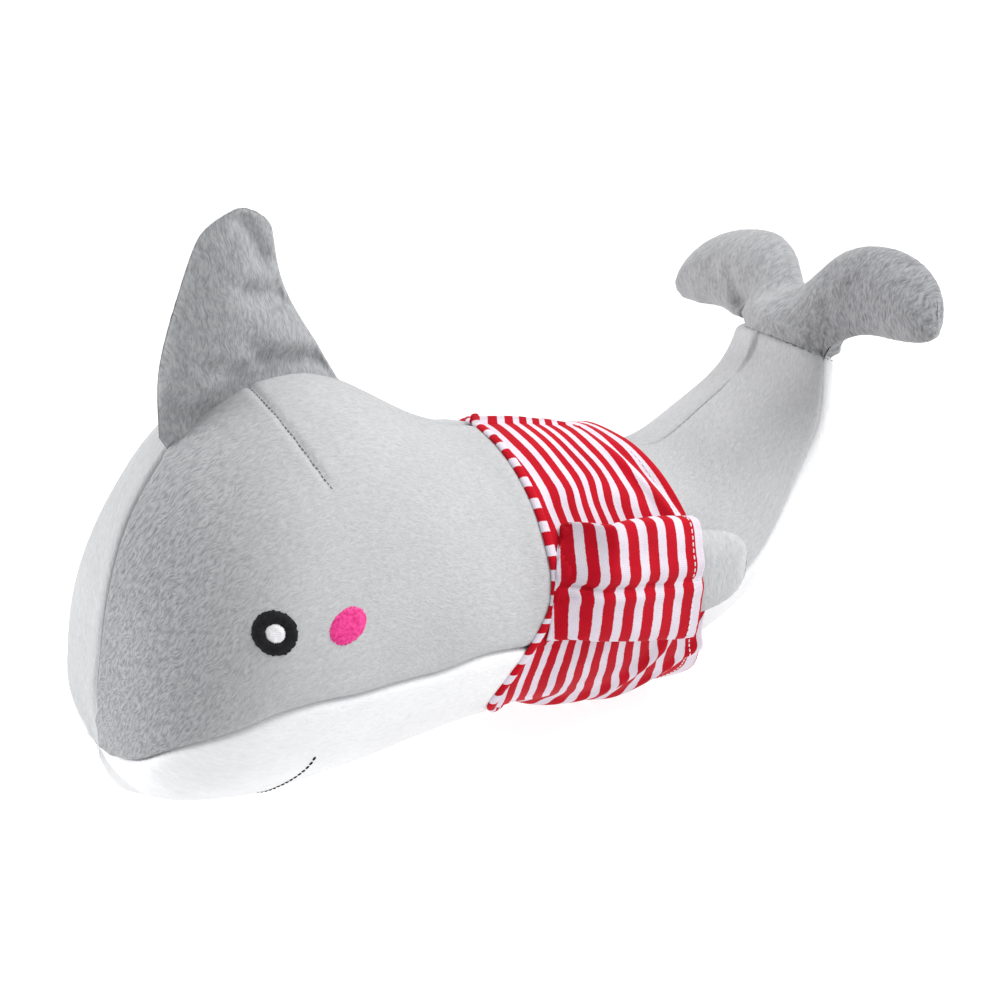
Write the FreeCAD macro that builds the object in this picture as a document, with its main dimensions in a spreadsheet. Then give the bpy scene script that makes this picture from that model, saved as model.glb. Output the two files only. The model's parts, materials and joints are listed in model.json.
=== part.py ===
"""Plush shark in a striped shirt, lying on its belly.

Frame: +Z up, nose towards -Y, the shark's left side towards +X, origin on the floor
under the middle of the toy. Units are millimetres and degrees.
"""
import FreeCAD, Part
import math
import os

Vector = FreeCAD.Vector
ALONG_X = Vector(1, 0, 0)
ALONG_Y = Vector(0, 1, 0)
UPWARDS = Vector(0, 0, 1)

# Driving dimensions: alias, value, what it is.
SIZES = (
    ("fabric", 2.0, "plush fabric with its pile pressed flat"),
    ("seam_gap", 0.3, "gap between two pieces that a seam joins"),
    ("clearance", 0.6, "gap between bodies that move against each other"),
    ("filling_gap", 0.3, "gap between fabric and filling"),
    ("thread", 0.6, "thickness of the embroidery"),
    ("jersey", 1.0, "shirt fabric"),
    ("half_space", 400.0, "side of the boxes that stand for half spaces"),
    ("fin_hinge_height", 147.0, "dorsal fin hinge line above the floor"),
    ("fin_swing", 26.0, "angle that the fin base leaves free on each side"),
    ("fin_roof_width", 40.0, "reach of the sloping roof under the fin, on each side"),
    ("tail_hinge_along", 72.0, "tail hinge line, along the toy"),
    ("tail_hinge_height", 57.5, "tail hinge line, above the floor"),
    ("tail_hinge_tilt", 24.0, "lean of the seam round the tail hinge"),
    ("tail_swing", 10.5, "half of the angle left open round the tail hinge"),
    ("tail_ball_radius", 30.5, "round front of the tail filling, about the hinge line"),
    ("fluke_along", 131.5, "middle of the fluke seam, along the toy"),
    ("fluke_height", 122.0, "middle of the fluke seam, above the floor"),
    ("fluke_lean", 63.0, "slope of the tail where the fluke is sewn on"),
    ("fluke_swing", 26.0, "angle that the fluke base leaves free on each side"),
    ("fluke_cant", 6.0, "sideways tilt of the fluke"),
    ("fluke_shift", 1.5, "sideways shift that keeps the canted fluke central"),
    ("fluke_half_thickness", 11.0, "half thickness of the fluke"),
    ("fluke_rounding", 8.0, "depth of the rounded edge of the fluke"),
    ("eye_along", -119.0, "eye centre along the toy"),
    ("eye_height", 81.0, "eye centre above the floor"),
    ("eye_radius", 7.5, "outer radius of the black ring"),
    ("eye_white_radius", 3.3, "radius of the white dot"),
    ("cheek_along", -94.0, "cheek centre along the toy"),
    ("cheek_height", 79.0, "cheek centre above the floor"),
    ("cheek_long", 7.0, "long half axis of the cheek oval"),
    ("cheek_short", 5.6, "short half axis of the cheek oval"),
    ("cheek_tilt", 60.0, "slope of the long axis"),
    ("mouth_centre_along", -62.0, "centre of the smile arc along the toy"),
    ("mouth_radius", 72.5, "radius of the smile arc"),
    ("mouth_width", 1.2, "width of the embroidered line"),
    ("mouth_end_along", -105.0, "where the smile ends"),
    ("mouth_top", 40.0, "the smile stays below this height"),
    ("binding_width", 3.4, "width of the shirt's neck binding"),
    ("binding_gap", 0.05, "gap between the binding and the shirt"),
    ("hem_depth", 5.7, "distance from a hem's edge to its stitch line"),
    ("hem_line", 0.8, "width of a stitch line"),
    ("flipper_hinge_side", 59.6, "flipper hinge line, out from the middle"),
    ("flipper_hinge_along", -9.5, "flipper hinge line, along the toy"),
    ("flipper_hinge_height", 74.0, "middle of the flipper hinge line, above the floor"),
    ("flipper_droop", 6.0, "angle by which the flipper hangs down towards the back"),
    ("flipper_toe", 3.2, "angle by which the flipper closes on the body towards the back"),
    ("flipper_fabric", 1.0, "flipper plush, pressed flat in the sleeve"),
    ("flipper_filling_gap", 0.15, "gap between flipper plush and filling"),
    ("sleeve_jersey", 0.8, "sleeve fabric"),
    ("thread_gap", 0.1, "gap under embroidery or a stitch line"),
    ("thread_top", 0.5, "top of a stitch line above its fabric"),
)

# Cross-sections of the body: name, along, height, tilt, half_width, half_height, egg.
# The section leans by the tilt, and egg narrows it above its middle.
BODY_SECTIONS = (
    ("nose_tip", -158.0, 37.0, 0.0, 17.0, 13.0, 0.00),
    ("nose", -153.5, 42.0, 0.0, 36.0, 29.0, 0.05),
    ("muzzle", -142.0, 56.0, 0.0, 49.0, 50.0, 0.12),
    ("brow", -128.0, 64.5, 0.0, 57.0, 61.5, 0.16),
    ("crown", -100.0, 72.2, 0.0, 61.0, 73.0, 0.18),
    ("nape", -65.0, 69.0, 0.0, 60.0, 70.0, 0.15),
    ("neck", -35.0, 62.0, 0.0, 57.0, 58.5, 0.10),
    ("chest", -10.0, 58.5, 0.0, 53.0, 53.5, 0.05),
    ("waist", 25.0, 55.5, 3.0, 48.5, 50.0, 0.00),
    ("rump", 60.0, 54.0, 14.0, 45.0, 43.0, 0.00),
    ("tail_root", 92.0, 64.0, 38.0, 37.5, 34.5, 0.00),
    ("tail_bend", 115.0, 85.5, 53.0, 30.0, 28.0, 0.00),
    ("tail_end", 131.5, 122.0, 63.0, 22.5, 18.0, 0.00),
)

# Cross-sections of the inside of the shirt: it hangs free of the body below.
SHIRT_SECTIONS = (
    ("shirt_neck", -18.0, 59.8, 0.0, 55.6, 55.9, 0.06),
    ("shirt_chest", -2.0, 56.8, 1.0, 53.6, 56.1, 0.03),
    ("shirt_waist", 25.0, 53.7, 3.0, 50.0, 53.3, 0.00),
    ("shirt_hem", 62.0, 48.9, 14.6, 47.6, 50.0, 0.00),
)

# Cross-sections of the dorsal fin, seen from above: name, height, front, rear, half_width.
FIN_SECTIONS = (
    ("fin_root", 122.0, -131.0, -58.0, 14.0),
    ("fin_low", 140.0, -129.3, -66.0, 13.5),
    ("fin_middle", 160.0, -126.0, -76.5, 12.0),
    ("fin_high", 180.0, -118.3, -85.0, 9.0),
    ("fin_top", 195.0, -110.5, -87.0, 6.0),
    ("fin_tip", 200.5, -104.0, -90.0, 3.5),
)

# Cross-sections of a flipper and of the inside of its sleeve, in the flipper's own frame:
# name, distance from the hinge line, drop, half_width, half_height.
FLIPPER_SECTIONS = (
    ("flipper_root", 1.0, 0.0, 1.4, 13.0),
    ("flipper_arm", 17.0, 1.5, 3.3, 15.0),
    ("flipper_blade", 42.0, 4.0, 3.9, 16.5),
    ("flipper_palm", 64.0, 5.0, 3.7, 15.0),
    ("flipper_end", 77.0, 5.0, 2.6, 9.5),
    ("flipper_tip", 80.0, 5.0, 1.4, 5.0),
)
SLEEVE_SECTIONS = (
    ("sleeve_front", -0.6, -1.0, 1.9, 20.0),
    ("sleeve_arm", 17.0, 2.0, 3.8, 21.0),
    ("sleeve_blade", 40.0, 5.0, 4.4, 21.5),
    ("sleeve_hem", 56.0, 7.0, 4.6, 21.5),
)

# Upper edge of the white belly in side view, from the nose back and up the tail.
BELLY_SEAM = (
    (-170, 38), (-157, 40), (-138, 47.5), (-106, 57), (-80, 58.5), (-50, 55.5), (-10, 49),
    (30, 43), (62, 40), (84, 48), (100, 60), (119, 83), (127, 102), (132, 122), (136, 145),
)

# Half outline of the fluke from its seam: sideways, and on along the tail.
FLUKE_OUTLINE = (
    (24, 0), (42, 6.5), (58, 6.5), (69, 10), (69, 21), (55, 36), (32, 41), (14, 35), (0, 22),
)

ROUND_STEPS = 24

# How far an open end stops short as a tube grows, so that the smaller tube cuts right through.
OPEN_END_TRIM = 0.1

doc = FreeCAD.newDocument("PlushShark")
sheet = doc.addObject("Spreadsheet::Sheet", "Dimensions")
next_row = 1


def write_size(alias, value, note):
    """Put one driving dimension into the next row of the sheet."""
    global next_row
    sheet.set("A%d" % next_row, note)
    sheet.set("B%d" % next_row, str(value))
    sheet.setAlias("B%d" % next_row, alias)
    next_row += 1


def write_sections(sections, fields):
    """Put a table of cross-sections into the sheet, one alias for each number."""
    for section in sections:
        name = section[0]
        for field, value in zip(fields, section[1:]):
            write_size(name + "_" + field, value, name + ", " + field)


def fill_sheet():
    for alias, value, note in SIZES:
        write_size(alias, value, note)
    spine_fields = ("along", "height", "tilt", "half_width", "half_height", "egg")
    write_sections(BODY_SECTIONS, spine_fields)
    write_sections(SHIRT_SECTIONS, spine_fields)
    write_sections(FIN_SECTIONS, ("height", "front", "rear", "half_width"))
    pod_fields = ("along", "drop", "half_width", "half_height")
    write_sections(FLIPPER_SECTIONS, pod_fields)
    write_sections(SLEEVE_SECTIONS, pod_fields)
    doc.recompute()


def size(alias):
    """A driving dimension, read from the sheet."""
    return float(sheet.get(alias))


def feature(label, shape):
    """A document object that holds a shape made by Part's own functions."""
    obj = doc.addObject("Part::Feature", label)
    obj.Label = label
    obj.Shape = shape
    return obj


def cut(label, base, tool):
    obj = doc.addObject("Part::Cut", label)
    obj.Label = label
    obj.Base = base
    obj.Tool = tool
    return obj


def common(label, base, tool):
    obj = doc.addObject("Part::Common", label)
    obj.Label = label
    obj.Base = base
    obj.Tool = tool
    return obj


def fuse(label, *objects):
    obj = doc.addObject("Part::MultiFuse", label)
    obj.Label = label
    obj.Shapes = list(objects)
    return obj


def loft(label, wires):
    """A solid through closed wires, each its own object."""
    obj = doc.addObject("Part::Loft", label)
    obj.Label = label
    obj.Sections = [feature("%s_section_%d" % (label, i), wire) for i, wire in enumerate(wires)]
    obj.Solid = True
    obj.Ruled = False
    return obj


def extrude(label, profile, direction, both_ways):
    """A prism from a flat profile, on both sides of it or on one."""
    obj = doc.addObject("Part::Extrusion", label)
    obj.Label = label
    obj.Base = profile
    obj.DirMode = "Custom"
    obj.Dir = direction
    obj.LengthFwd = direction.Length
    obj.Symmetric = both_ways
    obj.Solid = True
    return obj


def copy_by(label, source, placement):
    """A moved copy that follows its source."""
    obj = doc.addObject("Part::Compound", label)
    obj.Label = label
    obj.Links = [source]
    obj.Placement = placement
    return obj


def closed_curve(points):
    """A smooth closed wire through the points."""
    curve = Part.BSplineCurve()
    curve.interpolate(Points=points, PeriodicFlag=True)
    return Part.Wire([curve.toShape()])


# --- Cross-sections -----------------------------------------------------------------

def spine_ring(name):
    """Centre, tilt, half width, half height and egg of one body section."""
    centre = Vector(0, size(name + "_along"), size(name + "_height"))
    return [centre, size(name + "_tilt"), size(name + "_half_width"),
            size(name + "_half_height"), size(name + "_egg")]


def mean_radius(ring):
    return (ring[2] + ring[3]) / 2.0


def grown_rings(names, growth, closed_ends):
    """Body sections moved outwards by the growth, square to the surface.

    Where the body tapers, the outward move is partly along the spine. A closed end
    counts as running on to a point, and an open end stops a little short.
    """
    rings = [spine_ring(name) for name in names]
    moved = []
    for i, ring in enumerate(rings):
        before = rings[max(i - 1, 0)]
        after = rings[min(i + 1, len(rings) - 1)]
        first = i == 0
        last = i == len(rings) - 1
        radius_before = 0.0 if first and closed_ends else mean_radius(before)
        radius_after = 0.0 if last and closed_ends else mean_radius(after)
        run = (after[0] - before[0]).Length
        rise = radius_after - radius_before
        slope = math.hypot(run, rise)
        back = growth * rise / slope
        if first and not closed_ends:
            back = -growth * OPEN_END_TRIM
        if last and not closed_ends:
            back = growth * OPEN_END_TRIM
        tilt = math.radians(ring[1])
        forward = Vector(0, math.cos(tilt), math.sin(tilt))
        centre = ring[0] - forward * back
        wider = growth * run / slope
        moved.append([centre, ring[1], ring[2] + wider, ring[3] + wider, ring[4]])
    return moved


def ring_wire(ring):
    """An egg-shaped closed wire, leaning by the ring's tilt."""
    centre, tilt, half_width, half_height, egg = ring
    lean = math.radians(tilt)
    up = Vector(0, -math.sin(lean), math.cos(lean))
    points = []
    for step in range(ROUND_STEPS):
        angle = 2 * math.pi * step / ROUND_STEPS
        sideways = half_width * math.cos(angle) * (1 - egg * math.sin(angle))
        points.append(centre + ALONG_X * sideways + up * (half_height * math.sin(angle)))
    return closed_curve(points)


def spine_loft(label, names, growth, closed_ends=True):
    return loft(label, [ring_wire(ring) for ring in grown_rings(names, growth, closed_ends)])


def ellipse_wire(centre, major, minor):
    """A closed ellipse; major and minor are its half axes, as vectors."""
    oval = Part.Ellipse(centre + major, centre + minor, centre)
    return Part.Wire([oval.toShape()])


def pod_loft(label, names, growth):
    """A flat pod or tube that runs along +Y from the hinge line, in its own frame."""
    wires = []
    for i, name in enumerate(names):
        along = size(name + "_along")
        if i == 0:
            along -= growth
        if i == len(names) - 1:
            along += growth
        centre = Vector(0, along, -size(name + "_drop"))
        half_width = size(name + "_half_width") + growth
        half_height = size(name + "_half_height") + growth
        wires.append(ellipse_wire(centre, UPWARDS * half_height, ALONG_X * half_width))
    return loft(label, wires)


def fin_loft(label, growth):
    """The dorsal fin as a stack of flat ellipses."""
    wires = []
    for i, section in enumerate(FIN_SECTIONS):
        name = section[0]
        height = size(name + "_height")
        if i == len(FIN_SECTIONS) - 1:
            height += growth
        front = size(name + "_front") - growth
        rear = size(name + "_rear") + growth
        middle = Vector(0, (front + rear) / 2, height)
        half_width = size(name + "_half_width") + growth
        wires.append(ellipse_wire(middle, ALONG_Y * ((rear - front) / 2), ALONG_X * half_width))
    return loft(label, wires)


# --- Regions that divide the shapes into pieces -------------------------------------

def half_space(label, low_x, low_y, low_z):
    """A large box with its lowest corner at the point given."""
    box = doc.addObject("Part::Box", label)
    box.Label = label
    for side in ("Length", "Width", "Height"):
        box.setExpression(side, "Dimensions.half_space * 1 mm")
    box.Placement.Base = Vector(low_x, low_y, low_z)
    return box


def side_profile(label, points, smooth):
    """A face in the middle plane: the points, closed low and far away."""
    corners = [Vector(0, y, z) for y, z in points]
    if smooth:
        curve = Part.BSplineCurve()
        curve.interpolate(corners)
        far_back = Vector(0, size("half_space"), corners[-1].z)
        far_low = Vector(0, size("half_space"), -size("half_space"))
        near_low = Vector(0, corners[0].y, -size("half_space"))
        rest = Part.makePolygon([corners[-1], far_back, far_low, near_low, corners[0]])
        wire = Part.Wire([curve.toShape()] + rest.Edges)
    else:
        wire = Part.makePolygon(corners + corners[:1])
    return feature(label, Part.Face(wire))


def tail_sector(label, extra_tilt_up, extra_tilt_down):
    """Everything behind the tail hinge, between two planes that meet on the hinge line."""
    hinge = Vector(0, size("tail_hinge_along"), size("tail_hinge_height"))
    reach = size("half_space")
    up_angle = math.radians(90 + size("tail_hinge_tilt") + extra_tilt_up)
    down_angle = math.radians(-90 + size("tail_hinge_tilt") - extra_tilt_down)
    up = Vector(0, math.cos(up_angle), math.sin(up_angle)) * reach
    down = Vector(0, math.cos(down_angle), math.sin(down_angle)) * reach
    back_angle = math.radians(size("tail_hinge_tilt"))
    back = Vector(0, math.cos(back_angle), math.sin(back_angle)) * reach
    corners = [hinge, hinge + down, hinge + down + back, hinge + up + back, hinge + up]
    profile = side_profile(label + "_profile", [(corner.y, corner.z) for corner in corners], False)
    return extrude(label, profile, ALONG_X * reach, True)


def tail_ball(label, growth):
    """A round end about the hinge line, so it turns in its seat without touching."""
    ball = doc.addObject("Part::Sphere", label)
    ball.Label = label
    ball.setExpression("Radius", "(Dimensions.tail_ball_radius + %s) * 1 mm" % growth)
    ball.setExpression("Placement.Base.y", "Dimensions.tail_hinge_along")
    ball.setExpression("Placement.Base.z", "Dimensions.tail_hinge_height")
    return ball


# --- Body and tail ------------------------------------------------------------------

BODY_NAMES = [section[0] for section in BODY_SECTIONS]


def make_body_and_tail():
    """Plush panels and filling, divided at the tail hinge and along the seams."""
    fabric = size("fabric")
    gap = size("seam_gap")
    reach = size("half_space")
    outer = spine_loft("body_outside", BODY_NAMES, 0.0)
    lining = spine_loft("body_lining", BODY_NAMES, -fabric)
    filled = spine_loft("body_filled", BODY_NAMES, -fabric - size("filling_gap"))
    above_floor = half_space("above_floor", -reach / 2, -reach / 2, 0)
    standing = common("body_on_floor", outer, above_floor)
    skin = cut("body_skin", standing, lining)

    swing = size("tail_swing")
    tail_zone = tail_sector("tail_zone", -swing, -swing)
    not_body = tail_sector("not_body", swing, swing)
    body_skin = cut("front_skin", skin, not_body)
    tail_skin = common("tail_skin", skin, tail_zone)

    seam = side_profile("belly_seam", BELLY_SEAM, True)
    belly_zone = extrude("belly_zone", seam, ALONG_X * reach, True)
    lifted = FreeCAD.Placement(Vector(0, -gap / 2, gap), FreeCAD.Rotation())
    side_limit = copy_by("side_limit", belly_zone, lifted)
    left_half = half_space("left_half", gap / 2, -reach / 2, -reach / 2)
    right_half = half_space("right_half", -reach - gap / 2, -reach / 2, -reach / 2)

    panels = []
    for names, source in ((("belly_panel", "side_panel"), body_skin),
                          (("tail_belly_panel", "tail_panel"), tail_skin)):
        belly_name, side_name = names
        upper = cut(side_name + "s_joined", source, side_limit)
        panels.append(common(belly_name, source, belly_zone))
        panels.append(common(side_name + "_left", upper, left_half))
        panels.append(common(side_name + "_right", upper, right_half))

    seat = tail_ball("tail_ball_seat", "Dimensions.clearance")
    front_filling = cut("front_filling", filled, not_body)
    body_stuffing = cut("body_stuffing", front_filling, seat)
    rear_filling = common("rear_filling", filled, tail_zone)
    tail_stuffing = fuse("tail_stuffing", rear_filling, tail_ball("tail_ball", "0"))
    return panels + [body_stuffing, tail_stuffing]


# --- Face ---------------------------------------------------------------------------

def side_disc(label, along, height, radius):
    """A cylinder right across the head, square to its sides."""
    disc = doc.addObject("Part::Cylinder", label)
    disc.Label = label
    disc.setExpression("Radius", "Dimensions.%s * 1 mm" % radius)
    disc.setExpression("Height", "Dimensions.half_space * 1 mm")
    disc.Placement.Rotation = FreeCAD.Rotation(ALONG_Y, 90)
    disc.setExpression("Placement.Base.x", "-Dimensions.half_space / 2")
    disc.setExpression("Placement.Base.y", "Dimensions." + along)
    disc.setExpression("Placement.Base.z", "Dimensions." + height)
    return disc


def cheek_prism():
    """An oval right across the head, its long axis rising towards the back."""
    slope = math.radians(size("cheek_tilt"))
    centre = Vector(0, size("cheek_along"), size("cheek_height"))
    long_axis = Vector(0, math.cos(slope), math.sin(slope)) * size("cheek_long")
    short_axis = Vector(0, -math.sin(slope), math.cos(slope)) * size("cheek_short")
    oval = ellipse_wire(centre, long_axis, short_axis)
    profile = feature("cheek_profile", Part.Face(oval))
    return extrude("cheek_prism", profile, ALONG_X * size("half_space"), True)


def mouth_prism():
    """A curved upright wall, open towards the back, that cuts the smile from the skin."""
    centre = Vector(0, size("mouth_centre_along"), 0)
    radius = size("mouth_radius")
    half = size("mouth_width") / 2
    top = size("mouth_top")
    wall = Part.makeCylinder(radius + half, top, centre).cut(
        Part.makeCylinder(radius - half, top, centre))
    reach = size("half_space")
    front = Part.makeBox(reach, reach, top, Vector(-reach / 2, size("mouth_end_along") - reach, 0))
    return feature("mouth_prism", wall.common(front))


def make_face():
    """Embroidered eyes, cheeks and smile, standing just proud of the plush."""
    proud = size("thread_gap")
    reach = size("half_space")
    under = spine_loft("thread_under", BODY_NAMES, proud)
    over = spine_loft("thread_over", BODY_NAMES, proud + size("thread"))
    layer = cut("thread_layer", over, under)
    eye = side_disc("eye_disc", "eye_along", "eye_height", "eye_radius")
    dot = side_disc("eye_dot", "eye_along", "eye_height", "eye_white_radius")
    ring = cut("eye_ring_tool", eye, dot)
    pieces = []
    halves = (("_left", half_space("left_face", 0, -reach / 2, -reach / 2)),
              ("_right", half_space("right_face", -reach, -reach / 2, -reach / 2)))
    for name, tool in (("eye_ring", ring), ("eye_highlight", dot), ("cheek_patch", cheek_prism())):
        both = common(name + "s", layer, tool)
        for side, half in halves:
            pieces.append(common(name + side, both, half))
    pieces.append(common("mouth_thread", layer, mouth_prism()))
    return pieces


# --- Dorsal fin ---------------------------------------------------------------------

def fin_limit(outer):
    """Everything below the fin: the body, with a roof that leaves room to swing."""
    side_view = Part.Face(outer.Shape.slice(ALONG_X, 0)[0])
    side_view.translate(Vector(0, 0, size("clearance")))
    profile = feature("fin_limit_profile", side_view)
    width = size("fin_roof_width")
    rise = width * math.tan(math.radians(size("fin_swing")))
    left = extrude("fin_limit_left", profile, Vector(width, 0, rise), False)
    right = extrude("fin_limit_right", profile, Vector(-width, 0, rise), False)
    return fuse("fin_limit", left, right)


def make_dorsal_fin():
    fabric = size("fabric")
    gap = size("seam_gap")
    reach = size("half_space")
    doc.recompute()
    limit = fin_limit(doc.getObject("body_outside"))
    outer = fin_loft("fin_outside", 0.0)
    lining = fin_loft("fin_lining", -fabric)
    filled = fin_loft("fin_filled", -fabric - size("filling_gap"))
    skin = cut("fin_skin", cut("fin_shell", outer, lining), limit)
    left_half = half_space("fin_left_half", gap / 2, -reach / 2, 0)
    right_half = half_space("fin_right_half", -reach - gap / 2, -reach / 2, 0)
    return [
        common("dorsal_fin_panel_left", skin, left_half),
        common("dorsal_fin_panel_right", skin, right_half),
        cut("dorsal_fin_stuffing", filled, limit),
    ]


# --- Fluke --------------------------------------------------------------------------

def fluke_placement():
    """The fluke's own frame: x sideways, y on along the tail, z out of its front face."""
    seam = Vector(size("fluke_shift"), size("fluke_along"), size("fluke_height"))
    lean = FreeCAD.Rotation(ALONG_X, size("fluke_lean"))
    return FreeCAD.Placement(seam, lean)


def inset_outline(points, depth):
    """Points moved inwards, square to the outline. The outline runs anticlockwise."""
    moved = []
    for i, point in enumerate(points):
        along = points[(i + 1) % len(points)] - points[i - 1]
        inward = Vector(-along.y, along.x, 0).normalize()
        moved.append(point + inward * depth)
    return moved


def fluke_outline():
    """The whole outline of the fluke, canted, anticlockwise seen from its front face."""
    cant = FreeCAD.Rotation(UPWARDS, size("fluke_cant"))
    half = [Vector(x, y, 0) for x, y in FLUKE_OUTLINE]
    other = [Vector(-x, y, 0) for x, y in reversed(FLUKE_OUTLINE[:-1])]
    return [cant.multVec(point) for point in half + other]


def fluke_wire(inset, turn, side, middle):
    """One level of the pillow: turn runs from 0 at its middle to 90 degrees at a face.

    side is 1 towards the front face and -1 towards the rear, and middle is where 0 lies.
    """
    depth = size("fluke_rounding") - inset / 2
    height = middle + (size("fluke_half_thickness") - inset - middle) * math.sin(turn)
    edge = inset + depth * (1 - math.cos(turn))
    outline = inset_outline(fluke_outline(), edge)
    points = [point + UPWARDS * (side * height) for point in outline]
    wire = closed_curve(points)
    wire.Placement = fluke_placement()
    return wire


def fluke_loft(label, inset, angles, side=1, middle=0.0):
    """A pillow, or half of one that starts at a distance from the middle."""
    wires = [fluke_wire(inset, math.radians(angle), side, middle) for angle in angles]
    return loft(label, wires)


def fluke_zone():
    """The space the fluke may fill: a V that opens away from the tail's end."""
    reach = size("half_space") / 2
    foot = size("clearance")
    rise = reach * math.tan(math.radians(size("fluke_swing")))
    points = [Vector(-reach, foot, 0), Vector(-reach, foot + rise, reach),
              Vector(-reach, foot + rise + reach, 0), Vector(-reach, foot + rise, -reach)]
    face = Part.Face(Part.makePolygon(points + points[:1]))
    face.Placement = fluke_placement()
    profile = feature("fluke_zone_profile", face)
    return extrude("fluke_zone", profile, ALONG_X * reach * 2, False)


def make_fluke():
    fabric = size("fabric")
    middle = size("seam_gap") / 2
    whole = (-90, -45, 0, 45, 90)
    half = (0, 30, 60, 90)
    zone = fluke_zone()
    lining = fluke_loft("fluke_lining", fabric, whole)
    filled = fluke_loft("fluke_filled", fabric + size("filling_gap"), whole)
    pieces = [common("fluke_stuffing", filled, zone)]
    for name, side in (("fluke_front_panel", 1), ("fluke_rear_panel", -1)):
        outside = fluke_loft(name + "_outside", 0.0, half, side, middle)
        shell = cut(name + "_shell", outside, lining)
        pieces.append(common(name, shell, zone))
    return pieces


# --- Shirt --------------------------------------------------------------------------

SHIRT_NAMES = [section[0] for section in SHIRT_SECTIONS]


def hem_slab(label, name, start, end):
    """A slab between two planes parallel to a shirt section, measured along the toy."""
    reach = size("half_space")
    box = doc.addObject("Part::Box", label)
    box.Label = label
    box.Length = reach
    box.Width = end - start
    box.Height = reach
    tilt = FreeCAD.Rotation(ALONG_X, size(name + "_tilt"))
    centre = Vector(0, size(name + "_along"), size(name + "_height"))
    corner = tilt.multVec(Vector(-reach / 2, start, -reach / 2))
    box.Placement = FreeCAD.Placement(centre + corner, tilt)
    return box


def make_shirt():
    """A jersey tube, open at both ends, with a neck binding and a stitched hem."""
    reach = size("half_space")
    jersey = size("jersey")
    above_floor = half_space("above_shirt_floor", -reach / 2, -reach / 2, 0)
    inside = spine_loft("shirt_inside", SHIRT_NAMES, 0.0, False)
    outside = spine_loft("shirt_outside", SHIRT_NAMES, jersey, False)
    tube = cut("shirt_tube", outside, inside)
    standing = common("shirt_on_floor", tube, above_floor)
    width = size("binding_width")
    shirt_zone = hem_slab("shirt_zone", "shirt_neck", width, reach)
    shirt_body = common("shirt_body", standing, shirt_zone)

    binding_outside = spine_loft("binding_outside", SHIRT_NAMES, jersey * 2, False)
    binding_tube = cut("binding_tube", binding_outside, inside)
    gap = size("binding_gap")
    binding_zone = hem_slab("binding_zone", "shirt_neck", gap, width - gap)
    neck_binding = common("neck_binding", binding_tube, binding_zone)

    under, over = jersey + size("thread_gap"), jersey + size("thread_top")
    thread_inside = spine_loft("hem_thread_inside", SHIRT_NAMES, under, False)
    thread_outside = spine_loft("hem_thread_outside", SHIRT_NAMES, over, False)
    thread_tube = cut("hem_thread_tube", thread_outside, thread_inside)
    start = -size("hem_depth")
    thread_zone = hem_slab("hem_thread_zone", "shirt_hem", start, start + size("hem_line"))
    thread_ring = common("hem_thread_ring", thread_tube, thread_zone)
    shirt_hem_thread = common("shirt_hem_thread", thread_ring, above_floor)
    return [shirt_body, neck_binding, shirt_hem_thread]


# --- Flippers in their sleeves ------------------------------------------------------

FLIPPER_NAMES = [section[0] for section in FLIPPER_SECTIONS]
SLEEVE_NAMES = [section[0] for section in SLEEVE_SECTIONS]


def flipper_placement(side):
    """Where a flipper's own frame sits; side is +1 for left and -1 for right."""
    hinge = Vector(side * size("flipper_hinge_side"), size("flipper_hinge_along"),
                   size("flipper_hinge_height"))
    toe = FreeCAD.Rotation(Vector(0, 0, 1), side * size("flipper_toe"))
    droop = FreeCAD.Rotation(ALONG_X, -size("flipper_droop"))
    return FreeCAD.Placement(hinge, toe.multiply(droop))


def make_flipper(side_name, side):
    """One flipper, sewn on at its front edge, and the sleeve round it."""
    fabric = size("flipper_fabric")
    gap = size("seam_gap")
    reach = size("half_space")
    jersey = size("sleeve_jersey")
    suffix = "_" + side_name
    pieces = []

    outer = pod_loft("flipper_outside" + suffix, FLIPPER_NAMES, 0.0)
    lining = pod_loft("flipper_lining" + suffix, FLIPPER_NAMES[1:-1], -fabric)
    skin = cut("flipper_skin" + suffix, outer, lining)
    high_x = half_space("flipper_high_x" + suffix, gap / 2, -reach / 2, -reach / 2)
    low_x = half_space("flipper_low_x" + suffix, -reach - gap / 2, -reach / 2, -reach / 2)
    outward, inward = (high_x, low_x) if side > 0 else (low_x, high_x)
    pieces.append(common("flipper_outer_panel" + suffix, skin, outward))
    pieces.append(common("flipper_inner_panel" + suffix, skin, inward))
    filling_growth = -fabric - size("flipper_filling_gap")
    pieces.append(pod_loft("flipper_stuffing" + suffix, FLIPPER_NAMES[1:-1], filling_growth))

    sleeve_inside = pod_loft("sleeve_inside" + suffix, SLEEVE_NAMES, 0.0)
    sleeve_outside = pod_loft("sleeve_outside" + suffix, SLEEVE_NAMES, jersey)
    sleeve_tube = cut("sleeve_tube" + suffix, sleeve_outside, sleeve_inside)
    hem = size("sleeve_hem_along")
    open_end = half_space("sleeve_open_end" + suffix, -reach / 2, hem - gap, -reach / 2)
    pieces.append(cut("sleeve" + suffix, sleeve_tube, open_end))

    band = doc.addObject("Part::Box", "sleeve_thread_band" + suffix)
    band.Length = reach
    band.setExpression("Width", "Dimensions.hem_line * 1 mm")
    band.Height = reach
    band.Placement.Base = Vector(-reach / 2, hem - size("hem_depth"), -reach / 2)
    thread_outside = pod_loft("sleeve_thread_outside" + suffix, SLEEVE_NAMES,
                              jersey + size("thread_top"))
    thread_inside = pod_loft("sleeve_thread_inside" + suffix, SLEEVE_NAMES,
                             jersey + size("thread_gap"))
    disc = common("sleeve_thread_disc" + suffix, thread_outside, band)
    pieces.append(cut("sleeve_hem_thread" + suffix, disc, thread_inside))
    for piece in pieces:
        piece.Placement = flipper_placement(side)
    return pieces


# --- Checks and files ---------------------------------------------------------------

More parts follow.
